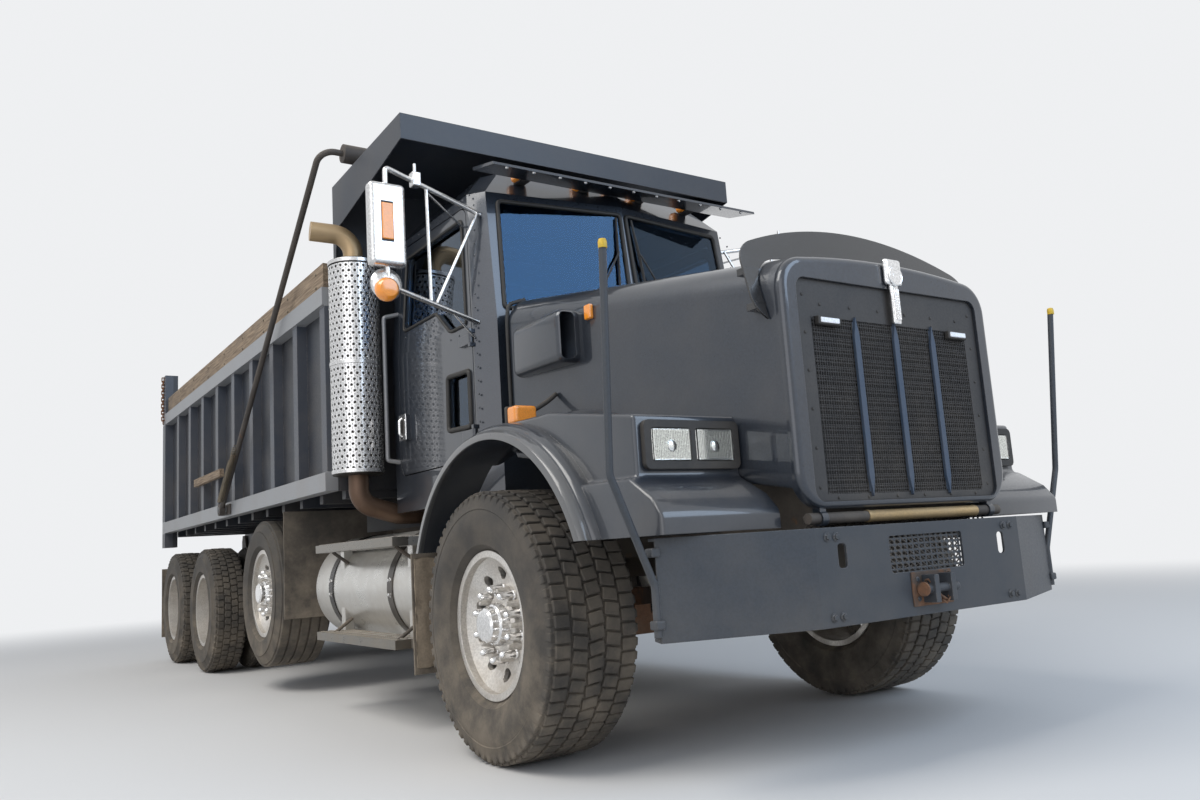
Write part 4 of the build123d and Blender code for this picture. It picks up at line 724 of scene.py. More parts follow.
def glass(name, colour, roughness=0, tint=(1, 1, 1)):
    """Clear glass or a clear lens; the tint colours what it reflects, as a painted reflection colour."""
    tree, shader = blank_material(name)
    fill(tree, shader, {
        "Base Color": colour, "Transmission Weight": 1, "IOR": 1.52, "Roughness": roughness,
        "Specular Tint": tint,
    })


def bed_zones(tree, colour):
    """Dark sheet, lighter posts and chalky rails on the bed's sides."""
    posts = zone(tree, "X", 1.15, 1.3, absolute=True)
    shade = mixed(tree, posts, colour, (0.045, 0.055, 0.075))
    rails = plus(tree, zone(tree, "Z", 1.25, 1.37), zone(tree, "Z", 2.36, 2.48))
    return mixed(tree, times(tree, rails, posts), shade, colours().rail)


def stack_zones(tree, colour):
    """Dark pipe behind the shield, straw-coloured tip above it and rusty elbow below it."""
    shade = mixed(tree, zone(tree, "Z", 2.592, 4), colour, (0.42, 0.3, 0.17))
    return mixed(tree, zone(tree, "Z", 0, 1.328), shade, (0.12, 0.07, 0.045))


def fender_zones(tree, colour):
    """The rolled lip along the arch is bare grey, the rest painted."""
    return mixed(tree, zone(tree, "X", 1.1605, 1.3, absolute=True), colour, (0.085, 0.088, 0.092))


def grille_painted_sky_zones(tree, colour):
    """Painted blue sky light on the fins that stand ahead of the dark panel and mesh."""
    # the fins' blue is painted sky light, not their own colour
    return mixed(tree, zone(tree, "Y", -9, back(GRILLE_PANEL)), colour, (0.022, 0.05, 0.095))


def tank_zones(tree, colour):
    """Dark straps round a bright tank, dull steel steps."""
    straps = plus(tree, zone(tree, "Y", back(1.212), back(1.288)), zone(tree, "Y", back(2.152), back(2.228)))
    shade = mixed(tree, straps, colour, (0.03, 0.03, 0.032))
    return mixed(tree, zone(tree, "X", 1.12, 1.3, absolute=True), shade, (0.2, 0.19, 0.17))


def finishes():
    """Rows of name, colour, roughness, metallic, coat, dust, its reach, wear, rust, bump and more."""
    tone = colours()
    return (
        ("Cab paint", tone.cab, 0.3, 0.35, 0.9, 0.1, 2.6, 0.25, 0, 0.01,
         {"coat_roughness": 0.04, "waves": 2.5}),
        ("Fender paint", tone.cab, 0.3, 0, 0.8, 0.11, 2, 0.35, 0, 0.012, {
            "coat_roughness": 0.05, "waves": 2.5, "tint": fender_zones,
        }),
        ("Pole grey", (0.2, 0.21, 0.225), 0.35, 0.4, 0, 0.25, 3, 0.3, 0, 0.02, {}),
        ("Bed paint", tone.bed, 0.4, 0, 0, 0.2, 3.6, 0.6, 0.22, 0.03, {"rust_scale": 3}),
        ("Bed side paint", tone.bed, 0.42, 0, 0, 0.19, 3.2, 0.7, 0.24, 0.04,
         {"rust_scale": 4, "tint": bed_zones}),
        ("Bumper steel", tone.bumper, 0.46, 0, 0, 0.15, 1.2, 0.8, 0, 0.06, {}),
        ("Frame steel", (0.035, 0.03, 0.028), 0.62, 0, 0, 0.5, 1.6, 0.3, 0.42, 0.15, {}),
        ("Rusty steel", (0.05, 0.035, 0.028), 0.75, 0, 0, 0.35, 1.4, 0, 0.85, 0.3,
         {"rust_scale": 3, "grain": 60}),
        ("Engine iron", (0.05, 0.05, 0.05), 0.65, 0, 0, 0.5, 2.2, 0, 0.2, 0.25, {}),
        ("Wheel aluminium", (0.62, 0.6, 0.57), 0.27, 0.95, 0, 0.48, 1.3, 0, 0, 0.02, {"dust_scale": 7}),
        ("Tank aluminium", (0.66, 0.65, 0.62), 0.24, 0.95, 0, 0.36, 1.4, 0, 0, 0.02, {
            "dust_scale": 5, "tint": tank_zones,
        }),
        ("Bright steel", (0.6, 0.6, 0.6), 0.22, 1, 0, 0.14, 3, 0, 0, 0.01, {}),
        ("Chrome", (0.78, 0.78, 0.78), 0.08, 1, 0, 0.14, 2, 0, 0, 0.006, {}),
        ("Stack metal", (0.02, 0.018, 0.016), 0.4, 0.6, 0, 0.2, 2.2, 0, 0.25, 0.05, {"tint": stack_zones}),
        ("Tyre rubber", tone.rubber, 0.78, 0, 0, 0.46, 1.1, 0, 0, 0.1,
         {"dust_scale": 6, "grain": 220, "radius": 0.003}),
        ("Flap rubber", (0.05, 0.045, 0.04), 0.85, 0, 0, 0.85, 1.6, 0, 0, 0.35,
         {"dust_scale": 5, "grain": 50}),
        # Grille black: the blue on its fins is painted sky light
        ("Grille black", (0.02, 0.021, 0.024), 0.52, 0, 0, 0.2, 2.2, 0.15, 0, 0.04, {"tint": grille_painted_sky_zones}),
        ("Brass", (0.36, 0.25, 0.12), 0.42, 0.7, 0, 0.35, 2, 0, 0, 0.05, {}),
        ("Caked mud", (0.27, 0.215, 0.155), 0.95, 0, 0, 0.5, 1.4, 0, 0, 0.6, {"dust_scale": 9, "grain": 90}),
        ("Spring steel", (0.1, 0.085, 0.06), 0.5, 0.5, 0, 0.35, 3, 0, 0.45, 0.1, {}),
        ("Step steel", (0.3, 0.28, 0.25), 0.42, 0.7, 0, 0.45, 1.4, 0, 0, 0.08, {}),
        ("Mirror face", (0.8, 0.82, 0.84), 0.03, 1, 0, 0.06, 2.2, 0, 0, 0, {}),
        ("Pole yellow", (0.55, 0.36, 0.02), 0.45, 0, 0, 0.12, 2.2, 0, 0, 0.02, {}),
        ("Red lens", (0.42, 0.01, 0.008), 0.16, 0, 1, 0.12, 3, 0, 0, 0.05, {"grain": 300}),
        ("Amber lens", tone.amber, 0.18, 0, 1, 0.08, 3, 0, 0, 0.05, {"grain": 300}),
        ("Lamp white", (0.85, 0.87, 0.9), 0.15, 0, 1, 0.04, 2.2, 0, 0, 0.02, {}),
        ("Reflector", (0.8, 0.8, 0.78), 0.12, 1, 0, 0.05, 2.2, 0, 0, 0.01, {}),
        ("Matt black", (0.018, 0.018, 0.019), 0.58, 0, 0, 0.22, 2.6, 0, 0, 0.05, {}),
        ("Smoked plastic", (0.012, 0.013, 0.015), 0.2, 0, 0.6, 0.05, 3, 0, 0, 0.01, {}),
        ("Seal rubber", (0.012, 0.012, 0.012), 0.55, 0, 0, 0.14, 2.2, 0, 0, 0.02, {}),
        ("Cushion cloth", (0.03, 0.03, 0.034), 0.9, 0, 0, 0.05, 2.2, 0, 0, 0.4, {"grain": 500}),
    )


def build_wood():
    """Weathered boards: grain along the truck and dark gaps between the planks."""
    tree, shader = blank_material("Board wood")
    point, _ = object_point(tree)
    stretch = add_node(tree, "Mapping")
    stretch.inputs["Scale"].default_value = (20, 1.2, 34)
    put(tree, stretch.inputs["Vector"], point)
    fibre = noise(tree, stretch.outputs["Vector"], 3, 8, 0.7)
    shade = mixed(tree, ramp_value(tree, fibre, 0.3, 0.7), (0.1, 0.068, 0.045), (0.34, 0.26, 0.18))
    stain = ramp_value(tree, noise(tree, point, 2.2, 5), 0.45, 0.75, 0, 0.6)
    bumped = add_node(tree, "Bump")
    fill(tree, bumped, {"Strength": 0.5, "Distance": 0.004, "Height": fibre})
    fill(tree, shader, {
        "Base Color": mixed(tree, stain, shade, (0.09, 0.08, 0.075)), "Normal": bumped.outputs[0],
        "Roughness": 0.85,
    })


# Which finish each of the frame's pieces wears; wheels and tyres that aren't named follow their kind
FINISH_NODES = {
    "Cab paint": "cab_shell door_right door_left hood_shell fenders",
    "Bed paint": "bed_floor headboard tailgate",
    "Bed side paint": "bed_sides",
    "Frame steel": "frame drive_axles lift_axle hoist_barrel tarp_bail",
    "Rusty steel": "front_axle knuckle_right knuckle_left tie_rod",
    "Engine iron": "engine_block",
    "Bumper steel": "front_bumper",
    "Tank aluminium": "fuel_tanks",
    "Stack metal": "exhaust_stack",
    "Flap rubber": "mud_flaps",
    "Window glass": "cab_glass door_glass_right door_glass_left",
    "Board wood": "sideboards",
    "Grille black": "grille",
    "Bright steel": "mirrors",
    "Matt black": "dashboard headlamps",
    "Smoked plastic": "bug_deflector",
    "Amber lens": "roof_lamps",
    "Cushion cloth": "seats",
    "Chrome": "hoist_rod",
}

# The record's slot that goes with a finish on a piece of trim
SLOTS = {
    "truck_paint": ("Cab paint", "Fender paint", "Pole grey"), "bumper_steel": ("Bumper steel",),
    "frame_paint": ("Frame steel", "Rusty steel", "Spring steel", "Brass"), "tyre_rubber": ("Tyre rubber",),
    "dark_trim": ("Grille black", "Matt black", "Seal rubber", "Pole yellow"), "board_wood": ("Board wood",),
    "rod_chrome": ("Chrome", "Bright steel", "Mirror face"), "flap_rubber": ("Caked mud",),
    "polished_aluminium": ("Step steel",), "amber_lens": ("Amber lens",),
    "lamp_lens": ("Red lens", "Reflector", "Lamp glass", "Lamp white"),
}


def finish_piece(piece, material, body="chassis", slot=None):
    """Give a piece its material and its body."""
    slot = slot or next(name for name, worn in SLOTS.items() if material in worn)
    piece.data.materials.clear()
    piece.data.materials.append(bpy.data.materials[material])
    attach(piece, body)
    return piece


def assemble(name, pieces, material, body="chassis", slot=None):
    """Join pieces into one and finish it."""
    return finish_piece(joined(name, pieces), material, body, slot)


class TRUCK_OT_finishes(bpy.types.Operator):
    """Build the finishes and put them on the frame's own pieces"""

    bl_idname = "truck.finishes"
    bl_label = "Finishes"

    def execute(self, context):
        for build in (build_dust_group, build_wear_group, build_rust_group, build_grain_group, build_wood):
            build()
        for *values, further in finishes():
            weathered(*values, **further)
        # the window glass's deep blue colour and blue reflection tint are a painted sky reflection
        glass("Window glass", (0.12, 0.2, 0.3), tint=(0.3, 0.6, 1))
        glass("Lamp glass", (0.95, 0.96, 0.95), 0.02)
        worn = {node: name for name, nodes in FINISH_NODES.items() for node in nodes.split()}
        for name, piece in NODES.items():
            material = worn.get(name, "Wheel aluminium" if "wheel" in name else "Tyre rubber")
            piece.data.materials.clear()
            piece.data.materials.append(bpy.data.materials[material])
        return {"FINISHED"}


# Tyres with tread blocks


def carcass(spec, name, base):
    """A tyre's turned body from bead to bead, its crown at the foot of the tread."""
    crown, half, tread, rim = spec["radius"], spec["width"] / 2, spec["tread"] / 2, spec["rim"]
    waist = (BEAD + crown) / 2
    right = [
        (rim, BEAD), (rim, BEAD + 0.016), (rim + 0.014, BEAD + 0.026), (rim + 0.034, BEAD + 0.04),
        (half - 0.006, waist - 0.035), (half, waist - 0.005), (half - 0.001, waist + 0.03),
        (half - 0.008, crown - 0.078), (half - 0.005, crown - 0.074), (half - 0.009, crown - 0.066),
        (tread + 0.012, crown - 0.04), (tread + 0.004, crown - 0.022), (tread - 0.012, base - 0.001),
        (tread * 0.5, base + 0.002),
    ]
    left = [(-along, radius) for along, radius in reversed(right)]
    return turned(name, left + right + [left[0]], 96)


def rib(spec, along, pitch, base):
    """A plain rib round a tyre's crown."""
    left, right = along - pitch * 0.42, along + pitch * 0.42
    foot, edge, top = base - 0.01, spec["radius"] - 0.004, spec["radius"] - 0.001
    return turned("rib", [
        (left, foot), (left, edge), (left + 0.004, top), (right - 0.004, top), (right, edge),
        (right, foot), (left, foot),
    ], 96)


def block_rows(spec, row, along, pitch, base):
    """A ring of tread blocks; an outer row has a ring of lugs on its shoulder too."""
    crown, count = spec["radius"], spec["blocks"]
    length = math.tau * crown / count
    outer = row in (0, spec["rows"] - 1)
    drop = 0.0035 if outer else 0.0005
    low = (-pitch * 0.43, -length * 0.41, base - 0.012)
    high = (pitch * 0.43, length * 0.41, crown - drop)
    pattern = slab("block", low, high, 0.003, 1)
    tread_block = placed(pattern, "block", (along, 0, 0), 0 if outer else (0.16, -0.16)[row % 2])
    bpy.data.objects.remove(pattern)
    if row % 2:
        tread_block.rotation_euler[0] = math.pi / count
        settle(tread_block)
    rings = [ring_of(tread_block, count)]
    if outer:
        low = (abs(along) + pitch * 0.34, -length * 0.3, crown - 0.058)
        high = (spec["tread"] / 2 + 0.013, length * 0.3, crown - 0.016)
        lug = slab("lug", low, high, 0.004, 1)
        if along < 0:
            lug.rotation_euler[2] = math.pi
            settle(lug)
        rings.append(ring_of(lug, count))
    return rings


def tyre(spec, name):
    """One tyre about the origin: its carcass with rows of tread blocks or plain ribs round it."""
    base = spec["radius"] - sizes().tread_depth
    rows = spec["rows"]
    pitch = spec["tread"] / rows
    pieces = [carcass(spec, name, base)]
    for row in range(rows):
        along = (row - (rows - 1) / 2) * pitch
        if spec["blocks"]:
            pieces += block_rows(spec, row, along, pitch, base)
        else:
            pieces.append(rib(spec, along, pitch, base))
    return joined(name, pieces)


class TRUCK_OT_tyres(bpy.types.Operator):
    """Replace each tyre by one with tread blocks and a moulded sidewall"""

    bl_idname = "truck.tyres"
    bl_label = "Tyres"

    def execute(self, context):
        steer = tyre(STEER_TYRE, "steer_pattern")
        lift = tyre(LIFT_TYRE, "lift_pattern")
        single = tyre(DRIVE_TYRE, "drive_pattern")
        twin = joined("twin_pattern", [
            placed(single, "twin", (way * TWIN_SPACING / 2, 0, 0)) for way in (-1, 1)
        ])
        for name, _ in SIDES:
            for pattern, tyres, spin, hub in (
                (steer, "steer_tyre", "steer_spin", "steer_hub"),
                (lift, "lift_tyre", "lift_spin", "lift_hub"),
                (twin, "drive_tyres_1", "drive_spin_1", "drive_hub_1"),
                (twin, "drive_tyres_2", "drive_spin_2", "drive_hub_2"),
            ):
                node = f"{tyres}_{name}"
                piece = placed(pattern, f"treaded_{node}", JOINTS[f"{spin}_{name}"]["pos_m"])
                finish_piece(piece, "Tyre rubber", f"{hub}_{name}")
                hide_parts(node)
        for pattern in (steer, lift, single, twin):
            bpy.data.objects.remove(pattern)
        return {"FINISHED"}


class TRUCK_OT_nut_covers(bpy.types.Operator):
    """Bright nut covers and hub caps"""

    bl_idname = "truck.nut_covers"
    bl_label = "Nut covers"

    def execute(self, context):
        length = sizes().cover_length
        cover = turned("cover", [
            (0, 0), (0, 0.0225), (0.007, 0.0225), (0.01, 0.0185), (length * 0.72, 0.0165),
            (length * 0.9, 0.0135), (length * 0.98, 0.008), (length, 0),
        ], 14)
        cover.location = (0, 0, STUD_CIRCLE)
        covers = ring_of(settle(cover), STUDS)
        steer_cap = turned("cap", [
            (0, 0), (0, 0.092), (0.03, 0.09), (0.06, 0.082), (0.066, 0.074), (0.094, 0.07),
            (0.102, 0.06), (0.104, 0),
        ], 40)
        drive_cap = turned("axle_cap", [
            (0, 0), (0, 0.104), (0.15, 0.102), (0.176, 0.086), (0.189, 0.082), (0.189, 0),
        ], 40)
        for name, side in SIDES:
            turn = 0 if side > 0 else math.pi
            for cap, spin, hub, face in (
                (steer_cap, "steer_spin", "steer_hub", 0.093),
                (steer_cap, "lift_spin", "lift_hub", 0.093),
                (drive_cap, "drive_spin_1", "drive_hub_1", 0.023),
                (drive_cap, "drive_spin_2", "drive_hub_2", 0.023),
            ):
                place = Vector(JOINTS[f"{spin}_{name}"]["pos_m"]) + Vector((side * face, 0, 0))
                pair = [placed(part, "part", place, turn) for part in (covers, cap)]
                assemble(f"nut_covers_{hub}_{name}", pair, "Chrome", f"{hub}_{name}")
        for pattern in (covers, steer_cap, drive_cap):
            bpy.data.objects.remove(pattern)
        return {"FINISHED"}


# Exhaust shield


def perforated_sheet(name, columns, rows, pitch, radius):
    """A flat sheet of staggered round holes in the XZ plane, made from one cell."""
    bpy.ops.object.select_all(action="DESELECT")
    bpy.ops.mesh.primitive_circle_add(vertices=8, radius=radius, rotation=(math.pi / 2, 0, math.pi / 8))
    piece = opened(settle(started(name)))
    bpy.ops.mesh.extrude_edges_move()
    bpy.ops.object.mode_set(mode="OBJECT")
    for vertex in piece.data.vertices:
        if vertex.select:
            side = max(abs(vertex.co.x), abs(vertex.co.z))
            vertex.co.x *= pitch / 2 / side
            vertex.co.z *= pitch / 2 / side
    row_of(piece, columns, (pitch, 0, 0))
    second = placed(piece, "second", (pitch / 2, 0, pitch))
    piece = joined(name, [piece, second])
    return row_of(piece, rows // 2, (0, 0, pitch * 2))


class TRUCK_OT_exhaust(bpy.types.Operator):
    """Perforated shield round the exhaust stack"""

    bl_idname = "truck.exhaust"
    bl_label = "Exhaust shield"

    def execute(self, context):
        pitch = math.tau * STACK_RADIUS / STACK_COLUMNS
        rows = 2 * int((STACK_HIGH - STACK_LOW) / pitch / 2)
        sheet = perforated_sheet("stack_shield", STACK_COLUMNS, rows, pitch, sizes().hole)
        for vertex in sheet.data.vertices:
            turn = vertex.co.x / STACK_RADIUS
            vertex.co = (
                STACK_X + STACK_RADIUS * math.cos(turn), back(STACK_AT) + STACK_RADIUS * math.sin(turn),
                STACK_LOW + vertex.co.z + pitch / 2,
            )
        modify(sheet, "WELD", merge_threshold=0.0004)
        modify(sheet, "SOLIDIFY", thickness=0.002, offset=1)
        bands = [sheet]
        inner, outer = STACK_RADIUS, STACK_RADIUS + 0.004
        for height in (STACK_LOW - 0.008, (STACK_LOW + STACK_HIGH) / 2, STACK_HIGH - 0.012):
            band = turned("band", [(0, inner), (0, outer), (0.022, outer), (0.022, inner), (0, inner)], 64)
            band.rotation_euler[1] = -math.pi / 2
            band.location = (STACK_X, back(STACK_AT), height)
            bands.append(settle(band))
        assemble("stack_shield", bands, "Bright steel", slot="shield_steel")
        return {"FINISHED"}


# Fenders and hood scoops


def side_outline(pairs):
    """(Y, Z) places from pairs of distance behind the steer axle and height."""
    return [(back(distance), height) for distance, height in pairs]


class TRUCK_OT_fenders(bpy.types.Operator):
    """Rolled fenders with their lamp pods and skirts, air scoops on the hood and grab poles on the cab"""

    bl_idname = "truck.fenders"
    bl_label = "Fenders and scoops"

    def execute(self, context):
        cover = turned("fenders_rolled", FENDER_ROLL, 144)
        cover.location = (0, back(ARCH_AT), ARCH_Z)
        settle(cover)
        nose = prism("pod", side_outline(POD), "X", 0.4, 1.092)
        combined(nose, prism("skirt", side_outline(SKIRT), "X", 0.4, 1.13), "UNION")
        modify(nose, "BEVEL", width=0.018, segments=4, limit_method="ANGLE", angle_limit=math.radians(20))
        room = turned("room", [(0.3, 0), (0.3, 0.806), (1.3, 0.806), (1.3, 0)], 96)
        room.location = (0, back(ARCH_AT), ARCH_Z)
        combined(nose, settle(room), "DIFFERENCE")
        hollow = prism("hollow", side_outline(SKIRT_ROOM), "X", 0.45, 1.114)
        combined(nose, hollow, "DIFFERENCE")
        combined(cover, nose, "UNION")
        plan = [(x, back(distance)) for x, distance in FENDER_PLAN]
        combined(cover, prism("plan", plan, "Z", 0.86, 1.7), "INTERSECT")
        smooth(both_sides(cover), 28)
        finish_piece(cover, "Fender paint", "hood")
        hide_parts("fenders")
        self.scoops()
        self.poles()
        return {"FINISHED"}

    def scoops(self):
        """An air scoop on each side of the hood, its mouth to the front."""
        scoop = slab("hood_scoops", (0.69, back(-0.145), 1.645), (0.838, back(0.3), 1.885), 0.04, 5)
        mouth = slab("mouth", (0.757, back(-0.16), 1.66), (0.826, back(-0.015), 1.87), 0.02, 3)
        combined(scoop, mouth, "DIFFERENCE")
        smooth(both_sides(scoop), 30)
        finish_piece(scoop, "Cab paint", "hood")

    def poles(self):
        """A grab pole behind each door."""
        line = ((0.868, 1.56, 1.385), (0.955, 1.58, 1.4), (0.955, 1.58, 2.24), (0.862, 1.56, 2.262))
        poles = [bar("pole", path(side, *line), 0.013, ease=0.03, steps=12) for _, side in SIDES]
        assemble("grab_poles", poles, "Pole grey")


# Grille, lamps and nose trim


class TRUCK_OT_grille(bpy.types.Operator):
    """Woven wires, screws, white lamps and a plain bright holder on the grille"""

    bl_idname = "truck.grille"
    bl_label = "Grille"

    def execute(self, context):
        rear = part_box("grille")[1][1]
        half, low, high = 0.452, 0.966, 1.612
        wires, uprights = sizes().grille_wires, 72
        step = (high - low) / wires
        across = slab("wire", (-half, rear - 0.006, low), (half, rear - 0.003, low + 0.0045), 0)
        row_of(across, wires, (0, 0, step))
        upright = slab("upright", (-half, rear - 0.008, low), (-half + 0.003, rear - 0.005, high), 0)
        row_of(upright, uprights, (2 * half / uprights, 0, 0))
        woven = joined("grille_weave", [across, upright])
        finish_piece(woven, "Grille black", "hood")
        core = slab("radiator_face", (-half, rear + 0.002, low), (half, rear + 0.012, high), 0.002)
        finish_piece(core, "Matt black", "hood")
        spots = [(side * 0.488, 0.99 + row * 0.14) for row in range(6) for side in (-1, 1)]
        spots += [(-0.4 + column * 0.16, height) for column in range(6) for height in (0.953, 1.66)]
        spots = [((x, back(GRILLE_PANEL), z), (0, -1, 0)) for x, z in spots]
        finish_piece(spread("grille_screws", dome(0.007, 0.004), spots), "Matt black", "hood")
        sleeve = turned("sleeve", [
            (0, 0), (0, 0.0222), (0.012, 0.0238), (0.02, 0.0216), (0.63, 0.0216), (0.638, 0.0238),
            (0.65, 0.0222), (0.65, 0),
        ], 32)
        finish_piece(spread("pivot_sleeve", sleeve, [((-0.25, back(-1.222), 0.884), (1, 0, 0))]), "Brass")
        self.holder()
        self.white_lamps()
        return {"FINISHED"}

    def holder(self):
        """A plain bright holder at the top of the surround, with a bare oval face."""
        stem = slab("stem", (-0.022, back(-1.272), 1.61), (0.022, back(-1.2535), 1.785), 0.008, 3)
        cap = slab("cap", (-0.047, back(-1.276), 1.765), (0.047, back(-1.2535), 1.87), 0.012, 3)
        boss = turned("boss", [
            (0, 0), (0, 0.04), (0.006, 0.041), (0.01, 0.037), (0.008, 0.031), (0.01, 0.018), (0.011, 0),
        ], 36)
        boss = spread("boss", boss, [((0, back(-1.274), 1.8), (0, -1, 0))])
        ribs = slab("ribs", (-0.014, back(-1.278), 1.625), (-0.009, back(-1.27), 1.75), 0.002, 2)
        row_of(ribs, 3, (0.0115, 0, 0))
        holder = joined("nose_holder", [stem, cap, boss, ribs])
        finish_piece(holder, "Chrome", "hood")

    def white_lamps(self):
        """A small white lamp bar at each upper corner of the mesh."""
        cases, lights = [], []
        for _, side in SIDES:
            cases.append(side_block("case", side, 0.318, 0.436, -1.262, -1.24, 1.58, 1.612, 0.004))
            lights.append(side_block("light", side, 0.328, 0.426, -1.266, -1.259, 1.586, 1.606, 0.004))
        assemble("white_lamp_cases", cases, "Matt black", "hood")
        assemble("white_lamps", lights, "Lamp white", "hood")


class TRUCK_OT_lamps(bpy.types.Operator):
    """Headlamp bowls and lenses, marker lamps, roof lamps and tail lamps"""

    bl_idname = "truck.lamps"
    bl_label = "Lamps"

    def execute(self, context):
        bowls, lenses, flutes = [], [], []
        for shift in (-0.098, 0.098):
            middle = HEADLAMP_X + shift
            low, high = HEADLAMP_Z - 0.054, HEADLAMP_Z + 0.054
            bowls.append(block("bowl", middle, 0.083, -0.9985, -0.9945, low, high, 0.001))
            bulb = turned("bulb", [(0, 0), (0, 0.02), (0.003, 0.019), (0.005, 0.01), (0.0055, 0)], 20)
            bowls.append(spread("bulb", bulb, [((middle, back(-0.9984), 1.165), (0, -1, 0))]))
            low, high = HEADLAMP_Z - 0.055, HEADLAMP_Z + 0.055
            lenses.append(block("lens", middle, 0.084, -1.0075, -1.0005, low, high, 0.003, 3))
            low, high = HEADLAMP_Z - 0.048, HEADLAMP_Z + 0.048
            flute = block("flute", middle - 0.0755, 0.0025, -1.0003, -0.9992, low, high, 0.0004, 1)
            flutes.append(row_of(flute, 20, (0.0076, 0, 0)))
        finish_piece(both_sides(joined("lamp_bowls", bowls)), "Reflector", "hood")
        finish_piece(both_sides(joined("lamp_glasses", lenses)), "Lamp glass", "hood")
        finish_piece(both_sides(joined("lamp_flutes", flutes)), "Lamp glass", "hood")
        self.markers()
        self.roof()
        self.tail()
        return {"FINISHED"}

    def markers(self):
        """Amber lamps on the fenders, each on an arm from the hood, and small ones on the hood's sides."""
        lens = slab("lens", (0.925, back(-0.066), 1.379), (1.035, back(0.012), 1.457), 0.014, 4)
        rim = slab("rim", (0.921, back(0.004), 1.3755), (1.039, back(0.026), 1.4605), 0.008, 3)
        arm = path(1, (0.93, 0.03, 1.43), (0.88, 0.03, 1.455), (0.8, 0.03, 1.5), (0.765, 0.03, 1.53))
        arm = bar("arm", arm, 0.011)
        small = slab("small", (0.72, back(-0.246), 1.818), (0.744, back(-0.2), 1.884), 0.007, 3)
        finish_piece(both_sides(joined("fender_markers", [lens, small])), "Amber lens", "hood")
        finish_piece(both_sides(joined("fender_marker_rims", [rim, arm])), "Matt black", "hood")

    def roof(self):
        """Rounded amber lamps along the roof's front edge, each on a dark foot."""
        lenses, feet = [], []
        for x in ROOF_LAMPS:
            lenses.append(block("lens", x, 0.0515, 0.5255, 0.625, 2.7715, 2.8375, 0.024, 5))
            feet.append(block("foot", x, 0.03, 0.545, 0.622, 2.765, 2.78, 0.005, 2))
        lenses = joined("roof_lamp_lenses", lenses)
        finish_piece(lenses, "Amber lens")
        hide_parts("roof_lamps")
        assemble("roof_lamp_feet", feet, "Matt black")

    def tail(self):
        """Round red lamps in the rear corner posts."""
        lens = [(0, 0), (0, 0.05), (0.01, 0.05), (0.017, 0.042), (0.02, 0.02), (0.021, 0)]
        lens = turned("lens", lens, 32)
        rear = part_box("bed_sides")[1][1] - 0.006
        spots = [((side * 1.165, rear, height), (0, 1, 0)) for _, side in SIDES for height in (1.3, 1.46)]
        ring = [(0, 0.051), (0, 0.058), (0.01, 0.056), (0.012, 0.051), (0, 0.051)]
        rings = spread("rings", turned("ring", ring, 32), spots)
        finish_piece(spread("tail_lamps", lens, spots), "Red lens", "bed")
        finish_piece(rings, "Matt black", "bed")


# Cab trim


def skin(height):
    """Half width of the cab's side at a height."""
    return CAB_HALF - max(0, height - CAB_WAIST) * CAB_LEAN


def on_side(side, outline, proud=0.002):
    """Places on the cab's side from (distance, height) pairs."""
    return [(side * (skin(height) + proud), back(distance), height) for distance, height in outline]


def on_screen(side, along, up, proud=0.003):
    """A place on one half of the windscreen, along from the middle post and up from its foot."""
    across, rise = (Vector((side * way[0], *way[1:])) for way in (SCREEN_ACROSS, SCREEN_RISE))
    out = across.cross(rise) * side
    return Vector((0, back(SCREEN_AT), SCREEN_Z)) + across * along + rise * up + out * proud


class TRUCK_OT_windows(bpy.types.Operator):
    """Rubber round the windows, wipers on the windscreen"""

    bl_idname = "truck.windows"
    bl_label = "Window rubbers and wipers"

    def execute(self, context):
        seal = sizes().seal
        screen = [
            bar("screen", [on_screen(side, *place) for place in SCREEN], seal * 1.3, True, ease=0.05)
            for _, side in SIDES
        ]
        assemble("screen_rubber", screen, "Seal rubber")
        for name, side in SIDES:
            beads = [bar("window", on_side(side, DOOR_WINDOW), seal, True, ease=0.06)]
            if side < 0:
                beads.append(bar("peep", on_side(side, PEEP_WINDOW), seal * 1.5, True, ease=0.05))
            assemble(f"door_rubber_{name}", beads, "Seal rubber", f"door_{name}")
        wipers = []
        arm = ((0.26, 0.055, 0.016), (0.2, 0.2, 0.034), (0.075, 0.4, 0.026))
        blade = ((0.095, 0.13, 0.012), (0.06, 0.61, 0.012))
        bow = ((0.09, 0.22, 0.014), (0.076, 0.39, 0.028), (0.066, 0.54, 0.014))
        for _, side in SIDES:
            for line, radius in ((arm, 0.0055), (blade, 0.0065), (bow, 0.004)):
                wipers.append(bar("wiper", [on_screen(side, *place) for place in line], radius))
            foot = on_screen(side, *arm[0])
            wipers.append(spread("hub", dome(0.02, 0.02, 16), [(foot, (0, -1, 0))]))
        assemble("wipers", wipers, "Matt black")
        return {"FINISHED"}


